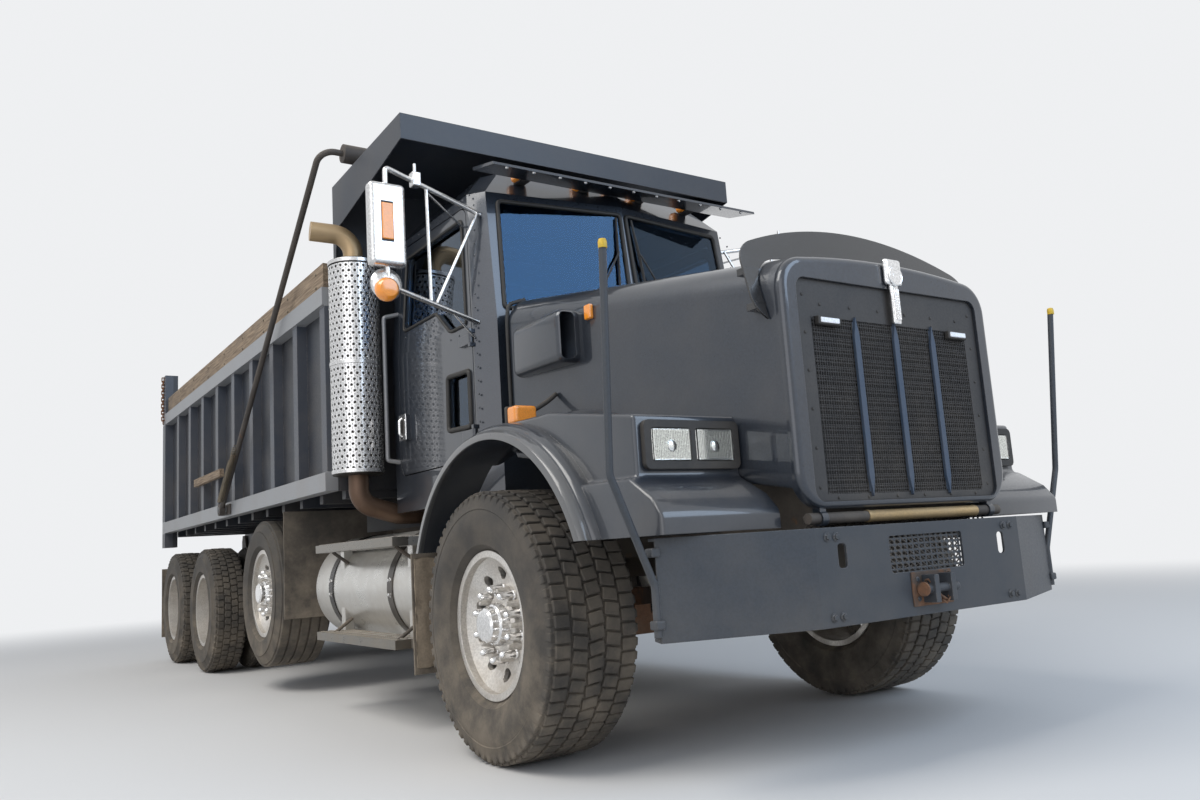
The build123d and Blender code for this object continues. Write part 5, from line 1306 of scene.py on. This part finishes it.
class TRUCK_OT_cab_trim(bpy.types.Operator):
    """Rivets, visor studs, door handles and the hood's rear seal"""

    bl_idname = "truck.cab_trim"
    bl_label = "Cab trim"

    def execute(self, context):
        rivets = [(0.54, 1.34 + row * 0.068) for row in range(10)]
        rivets += [(0.545 + row * 0.003, 2.05 + row * 0.068) for row in range(9)]
        rivets += [(0.62 + column * 0.082, 2.665) for column in range(12)]
        spots = [(place, (side, 0, 0)) for _, side in SIDES for place in on_side(side, rivets, 0)]
        finish_piece(spread("cab_rivets", dome(0.006, 0.004), spots), "Cab paint")
        under = (0, -0.3, -1)
        studs = [((-0.78 + column * 0.156, back(0.345), 2.7255), under) for column in range(11)]
        finish_piece(spread("visor_studs", dome(0.01, 0.01, 12), studs), "Bright steel")
        for name, side in SIDES:
            self.handle(name, side)
            sills = [(0.63, 1.945), (0.73, 1.945), (0.83, 1.945), (1.05, 2.09), (1.23, 2.09), (1.43, 2.09)]
            sills = [(place, (side, 0, 0)) for place in on_side(side, sills, 0)]
            sills = spread(f"sill_rivets_{name}", dome(0.006, 0.004), sills)
            finish_piece(sills, "Cab paint", f"door_{name}")
        edge = ((0.806, 0.376, 1.36), (0.806, 0.376, 1.95), (0.795, 0.376, 2.03), (0.7, 0.376, 2.062))
        edges = [bar("edge", path(side, *edge), 0.01, ease=0.05) for _, side in SIDES]
        assemble("hood_rear_seal", edges, "Seal rubber", "hood")
        return {"FINISHED"}

    def handle(self, name, side):
        """A bright pull in a dark pocket on the door's handle plate."""
        inner, outer = HANDLE_FACE - 0.002, HANDLE_FACE + 0.004
        rim = side_block("rim", side, inner, outer, 1.386, 1.484, 1.496, 1.644, 0.004, 3)
        near, far = HANDLE_FACE + 0.004, HANDLE_FACE + 0.02
        pull = path(side, (near, 1.435, 1.52), (far, 1.435, 1.535), (far, 1.435, 1.605), (near, 1.435, 1.62))
        pull = bar("pull", pull, 0.009, ease=0.008)
        assemble(f"door_handle_{name}", [rim, pull], "Chrome", f"door_{name}")
        inner, outer = HANDLE_FACE + 0.0035, HANDLE_FACE + 0.0055
        pocket = side_block("pocket", side, inner, outer, 1.404, 1.466, 1.514, 1.626, 0.001)
        assemble(f"door_pocket_{name}", [pocket], "Matt black", f"door_{name}")


class TRUCK_OT_mirrors(bpy.types.Operator):
    """Polished mirror heads on bent tubes with stays, round mirrors and amber lamps"""

    bl_idname = "truck.mirrors"
    bl_label = "Mirrors"

    def execute(self, context):
        bright, faces, amber, dark = [], [], [], []
        dish = [(0, 0), (0, 0.075), (0.008, 0.077), (0.022, 0.07), (0.036, 0.045), (0.042, 0.016), (0.043, 0)]
        dish = turned("dish", dish, 36)
        lamp = [(0, 0), (0, 0.052), (0.012, 0.056), (0.04, 0.052), (0.054, 0.04), (0.058, 0.018), (0.0585, 0)]
        lamp = turned("lamp", lamp, 28)
        for _, side in SIDES:
            x = side * MIRROR_X
            bright += self.tubes(side)
            clamp = block("clamp", side * 1.215, 0.022, 0.452, 0.5, 2.598, 2.668, 0.006, 2)
            bright += [clamp, placed(dish, "dish", (x, back(0.458), 2.09), face=(0, -1, 0))]
            bright.append(block("head", x, 0.0895, 0.4005, 0.4695, 2.1655, 2.5695, 0.026, 6))
            faces.append(block("glass", x, 0.078, 0.4675, 0.4715, 2.178, 2.557, 0.0015, 2))
            disc = turned("disc", [(0, 0), (0, 0.069), (0.004, 0.062), (0.007, 0.03), (0.0075, 0)], 36)
            faces.append(spread("disc", disc, [((x, back(0.457), 2.09), (0, 1, 0))]))
            amber.append(block("marker", x + side * 0.006, 0.028, 0.394, 0.403, 2.29, 2.465, 0.004, 3))
            amber.append(placed(lamp, "lamp", (x + side * 0.018, back(0.424), 2.052), face=(0, -1, 0)))
            dark.append(block("rim", x + side * 0.006, 0.03, 0.3985, 0.4015, 2.28, 2.475, 0.002))
        for source in (dish, lamp):
            bpy.data.objects.remove(source)
        heads = joined("mirror_heads", bright)
        finish_piece(heads, "Bright steel")
        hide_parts("mirrors")
        assemble("mirror_faces", faces, "Mirror face")
        assemble("mirror_lamps", amber, "Amber lens")
        assemble("mirror_lamp_rims", dark, "Matt black")
        return {"FINISHED"}

    def tubes(self, side):
        """The bent tube that carries a mirror head and its straight stays."""
        tube = (
            (0.815, 0.592, 2.558), (MIRROR_X, 0.43, 2.65), (MIRROR_X, 0.43, 2.08), (0.872, 0.552, 1.976),
        )
        bars = [bar("tube", path(side, *tube), 0.0125, ease=0.05, steps=12)]
        for start, end, radius in (
            ((1.148, 0.498, 2.611), (1.148, 0.486, 2.032), 0.009),
            ((0.835, 0.575, 2.56), (1.12, 0.492, 2.03), 0.008),
            ((1.03, 0.513, 2.008), (0.89, 0.56, 1.9), 0.006),
            ((1.148, 0.498, 2.59), (0.85, 0.7, 2.51), 0.006),
            ((1.215, 0.478, 2.6), (1.215, 0.478, 2.715), 0.008),
        ):
            bars.append(bar("stay", path(side, start, end), radius))
        return bars


# Bumper, tanks, bed and underside


class TRUCK_OT_bumper_trim(bpy.types.Operator):
    """Bolts, expanded metal, tow chain, pole clamps and pole caps"""

    bl_idname = "truck.bumper_trim"
    bl_label = "Bumper trim"

    def execute(self, context):
        front = back(BUMPER_FRONT)
        corners = [(x, z) for z in (0.818, 0.548) for x in (0.53, 0.485)]
        spots = [((side * x, front, z), (0, -1, 0)) for _, side in SIDES for x, z in corners]
        bolts = spread("bumper_bolts", bolt(0.011, 0.012), spots)
        spots = [((side * 0.085, front, z), (0, -1, 0)) for _, side in SIDES for z in (0.575, 0.645)]
        lugs = spread("lug_bolts", bolt(0.01, 0.01), spots)
        assemble("bumper_bolts", [bolts, lugs], "Bumper steel")
        window = lattice("window", (-0.2125, front + 0.0135, 0.675), (0.2125, front + 0.0135, 0.807))
        apron = lattice("apron", (-0.52, back(-1.175), 0.8), (0.52, back(-1.175), 0.905))
        assemble("bumper_mesh", [window, apron], "Frame steel")
        plate = slab("plate", (-0.115, front - 0.006, 0.548), (0.115, front + 0.001, 0.672), 0.003, 2)
        links = chain("links", [
            (0.078, front - 0.018, 0.66), (0.06, front - 0.04, 0.585), (0.02, front - 0.044, 0.56),
            (-0.03, front - 0.042, 0.59), (-0.066, front - 0.032, 0.64),
        ], 0.026, 0.0035)
        ring = turned("ring", [(0, 0), (0, 0.026), (0.008, 0.026), (0.01, 0.022), (0.01, 0)], 20)
        collar = spread("collar", ring, [((-0.096, back(-1.317), 0.61), (1, 0, 0))])
        assemble("tow_chain", [plate, links, collar], "Rusty steel")
        clamps, caps = [], []
        for _, side in SIDES:
            for foot, head in ((0.56, 0.59), (0.79, 0.82)):
                clamps.append(side_block("clamp", side, 1.1, 1.138, -1.094, -1.054, foot, head, 0.006))
            cap = turned("cap", [(0, 0), (0, 0.015), (0.02, 0.0152), (0.03, 0.012), (0.034, 0)], 16)
            caps.append(spread("cap", cap, [((side * 1.29, back(-1.15), 1.788), (0, 0, 1))]))
        assemble("pole_clamps", clamps, "Bumper steel")
        assemble("pole_caps", caps, "Pole yellow")
        return {"FINISHED"}


class TRUCK_OT_tank_trim(bpy.types.Operator):
    """Step teeth, strap bolts, filler caps and step stays"""

    bl_idname = "truck.tank_trim"
    bl_label = "Tank trim"

    def execute(self, context):
        teeth, stays = [], []
        for low in (0.45, 0.95):
            for column in range(4):
                middle = 1.05 + column * 0.044
                tooth = block("tooth", middle, 0.01, 0.945, 0.965, low - 0.002, low + 0.004, 0.002, 1)
                teeth.append(row_of(tooth, 40, (0, 0.0292, 0)))
        for distance in (1.02, 1.98):
            for line in (
                ((1.15, 0.905), (1.11, 0.87), (0.99, 0.79)), ((1.15, 0.445), (1.11, 0.47), (0.985, 0.56)),
            ):
                stays.append(bar("stay", [(x, back(distance), z) for x, z in line], 0.01))
        finish_piece(both_sides(joined("step_teeth", teeth)), "Step steel")
        finish_piece(both_sides(joined("step_stays", stays)), "Frame steel")
        caps = []
        for _, side in SIDES:
            filler = turned("filler", [
                (0, 0), (0, 0.052), (0.012, 0.054), (0.03, 0.05), (0.034, 0.03), (0.04, 0.028), (0.042, 0),
            ], 28)
            spots = [((side * 0.945, back(1.08), 0.948), (side * 0.5, 0, 0.86))]
            caps.append(spread("filler", filler, spots))
            for strap in (1.25, 2.19):
                spots = path(side, (1.0945, strap, 0.66), (1.0945, strap, 0.735))
                spots = [(place, (side, 0, 0)) for place in spots]
                caps.append(spread("bolt", bolt(0.01, 0.014), spots))
        assemble("tank_caps", caps, "Bright steel", slot="polished_aluminium")
        return {"FINISHED"}


class TRUCK_OT_bed_trim(bpy.types.Operator):
    """Springs at the tarp arms, corner chains, a loose board and plank bolts"""

    bl_idname = "truck.bed_trim"
    bl_label = "Bed trim"

    def execute(self, context):
        foot, head = (Vector((0, back(distance), height)) for distance, height in (BAIL_FOOT, BAIL_HEAD))
        along = (head - foot).normalized()
        coils, pins = [], []
        for _, side in SIDES:
            for shift, reach in ((-0.03, 0.52), (0, 0.6), (0.03, 0.46)):
                low = foot + along * 0.1 + Vector((side * 1.3, shift, 0))
                coils.append(coil("spring", low, low + along * reach, 0.014, 0.0035, 30))
            pins.append(block("plate", side * 1.232, 0.008, 4.12, 4.33, 1.27, 1.35, 0.004, 2))
        assemble("tarp_springs", coils, "Spring steel", "bail")
        assemble("tarp_plates", pins, "Frame steel", "bed")
        line = ((1.236, 6.98, 2.86), (1.236, 7, 2.52), (1.238, 6.96, 2.38))
        chains = [chain("chain", path(side, *line), 0.046, 0.0055) for _, side in SIDES]
        assemble("corner_chains", chains, "Rusty steel", "bed")
        board = slab("board", (-1.246, back(4.42), 1.588), (-1.21, back(5.4), 1.652), 0.003, 2)
        assemble("loose_board", [board], "Board wood", "bed")
        spots = [
            ((side * 1.1985, back(2.05 + column * 0.6), height), (side, 0, 0))
            for _, side in SIDES for column in range(9) for height in (2.515, 2.6)
        ]
        finish_piece(spread("plank_bolts", dome(0.01, 0.006), spots), "Spring steel", "bed")
        return {"FINISHED"}


class TRUCK_OT_underside(bpy.types.Operator):
    """Mud on the front flaps, brake chambers and an air tank under the frame"""

    bl_idname = "truck.underside"
    bl_label = "Underside"

    def execute(self, context):
        clouds = bpy.data.textures.new("Mud clouds", "CLOUDS")
        clouds.noise_scale = 0.045
        cakes = []
        for _, side in SIDES:
            cake = opened(side_block("cake", side, 0.79, 1.18, 0.7225, 0.7475, 0.33, 0.84, 0))
            bpy.ops.mesh.subdivide(number_cuts=22)
            bpy.ops.object.mode_set(mode="OBJECT")
            cakes.append(modify(
                cake, "DISPLACE", texture=clouds, texture_coords="LOCAL", strength=0.026, mid_level=0.55,
            ))
        finish_piece(smooth(joined("caked_mud", cakes), 60), "Caked mud")
        chamber = turned("chamber", [
            (0, 0), (0, 0.055), (0.014, 0.08), (0.06, 0.088), (0.072, 0.094), (0.086, 0.094), (0.098, 0.088),
            (0.146, 0.08), (0.16, 0.055), (0.16, 0),
        ], 28)
        spots = [
            ((side * 0.5, back(distance), 0.6), (side * 0.2, -1, 0.1))
            for _, side in SIDES for distance in (5.432, 6.732)
        ]
        finish_piece(spread("brake_chambers", chamber, spots), "Frame steel")
        tank = turned("air_tank", [
            (0, 0), (0.012, 0.06), (0.034, 0.098), (0.06, 0.11), (0.6, 0.11), (0.626, 0.098),
            (0.648, 0.06), (0.66, 0),
        ], 36)
        tank = spread("air_tanks", tank, [((-0.33, back(2.62), 0.905), (1, 0, 0))])
        finish_piece(tank, "Frame steel")
        return {"FINISHED"}


# Stage


def seen_ray(tree):
    """1 for a ray that the camera, a gloss or a clear piece sends out."""
    ray = add_node(tree, "LightPath").outputs
    seen = math_node(tree, "MAXIMUM", ray["Is Camera Ray"], ray["Is Glossy Ray"])
    return math_node(tree, "MAXIMUM", seen, ray["Is Transmission Ray"])


class TRUCK_OT_stage(bpy.types.Operator):
    """Floor, lights, world and camera"""

    bl_idname = "truck.stage"
    bl_label = "Stage"

    def execute(self, context):
        bpy.ops.object.select_all(action="DESELECT")
        bpy.ops.mesh.primitive_plane_add(size=400, location=(0, 0, 0))
        floor = settle(started("floor"))
        self.floor_finish(floor)
        for row in LIGHTS:
            self.light(*row)
        self.world(context)
        self.camera(context)
        context.scene.view_settings.view_transform = "Standard"
        return {"FINISHED"}

    def floor_finish(self, floor):
        """A pale floor that runs out into the backdrop some way off."""
        tree, shader = blank_material("Pale floor")
        fill(tree, shader, {"Base Color": FLOOR_COLOUR, "Roughness": 0.9, "Specular IOR Level": 0.15})
        span = add_node(tree, "VectorMath", operation="LENGTH")
        put(tree, span.inputs[0], object_point(tree)[0])
        far = ramp_value(tree, span.outputs["Value"], 6.5, 15)
        glow = add_node(tree, "Emission")
        put(tree, glow.inputs["Color"], BACKDROP)
        blend = add_node(tree, "MixShader")
        fill(tree, blend, {0: times(tree, far, seen_ray(tree)), 1: shader.outputs[0], 2: glow.outputs[0]})
        put(tree, tree.nodes["Material Output"].inputs["Surface"], blend.outputs[0])
        floor.data.materials.append(bpy.data.materials["Pale floor"])

    def light(self, name, place, size, power, colour):
        """One soft square lamp aimed at the truck's middle."""
        place = (place[0], back(place[1]), place[2])
        bpy.ops.object.light_add(type="AREA", location=place)
        lamp = bpy.context.object
        lamp.name = name
        lamp.data.size = size
        lamp.data.energy = power
        lamp.data.color = colour
        aim = Vector((0, back(1.2), 1.2)) - Vector(place)
        lamp.rotation_euler = aim.to_track_quat("-Z", "Y").to_euler()

    def world(self, context):
        """Even light for the object and a pale backdrop for what sees it."""
        world = bpy.data.worlds.new("Studio")
        context.scene.world = world
        world.use_nodes = True
        tree = world.node_tree
        seen = seen_ray(tree)
        fill(tree, tree.nodes["Background"], {
            "Color": mixed(tree, seen, SKYLIGHT, BACKDROP), "Strength": ramp_value(tree, seen, 0, 1, 0.55, 1),
        })

    def camera(self, context):
        """The camera stands ahead of the truck's right front wheel and looks up at it."""
        bpy.ops.object.camera_add()
        camera = bpy.context.object
        camera.name = "Camera"
        bearing, rise, roll = (math.radians(v) for v in (CAMERA_BEARING, CAMERA_RISE, CAMERA_ROLL))
        ahead = Vector((
            -math.sin(bearing) * math.cos(rise), math.cos(bearing) * math.cos(rise), math.sin(rise),
        ))
        level = ahead.cross(Vector((0, 0, 1))).normalized()
        upright = level.cross(ahead)
        right = math.cos(roll) * level + math.sin(roll) * upright
        up = math.cos(roll) * upright - math.sin(roll) * level
        turn = Matrix((right, up, -ahead)).transposed().to_4x4()
        place = Vector((CAMERA_PLACE[0], back(CAMERA_PLACE[1]), CAMERA_PLACE[2]))
        camera.matrix_world = Matrix.Translation(place) @ turn
        camera.data.lens = CAMERA_LENS
        context.scene.camera = camera


STEPS = (
    TRUCK_OT_finishes, TRUCK_OT_tyres, TRUCK_OT_nut_covers, TRUCK_OT_exhaust, TRUCK_OT_fenders,
    TRUCK_OT_grille, TRUCK_OT_lamps, TRUCK_OT_windows, TRUCK_OT_cab_trim, TRUCK_OT_mirrors,
    TRUCK_OT_bumper_trim, TRUCK_OT_tank_trim, TRUCK_OT_bed_trim, TRUCK_OT_underside, TRUCK_OT_stage,
)


class VIEW3D_PT_truck(bpy.types.Panel):
    """Lists the steps that dress the truck."""

    bl_label = "Truck"
    bl_idname = "VIEW3D_PT_truck"
    bl_space_type = "VIEW_3D"
    bl_region_type = "UI"
    bl_category = "Truck"

    def draw(self, context):
        for step in STEPS:
            self.layout.operator(step.bl_idname)


CLASSES = (TruckColours, TruckSizes, *STEPS, VIEW3D_PT_truck)


def register():
    """Make the truck's steps and settings known."""
    for item in CLASSES:
        bpy.utils.register_class(item)
    bpy.types.Scene.truck_colours = PointerProperty(type=TruckColours)
    bpy.types.Scene.truck_sizes = PointerProperty(type=TruckSizes)


def unregister():
    """Take the steps and settings away again."""
    del bpy.types.Scene.truck_sizes
    del bpy.types.Scene.truck_colours
    for item in reversed(CLASSES):
        bpy.utils.unregister_class(item)


def main():
    """Dress the truck step by step."""
    register()
    for step in STEPS:
        family, name = step.bl_idname.split(".")
        getattr(getattr(bpy.ops, family), name)()


if __name__ == "__main__":
    main()
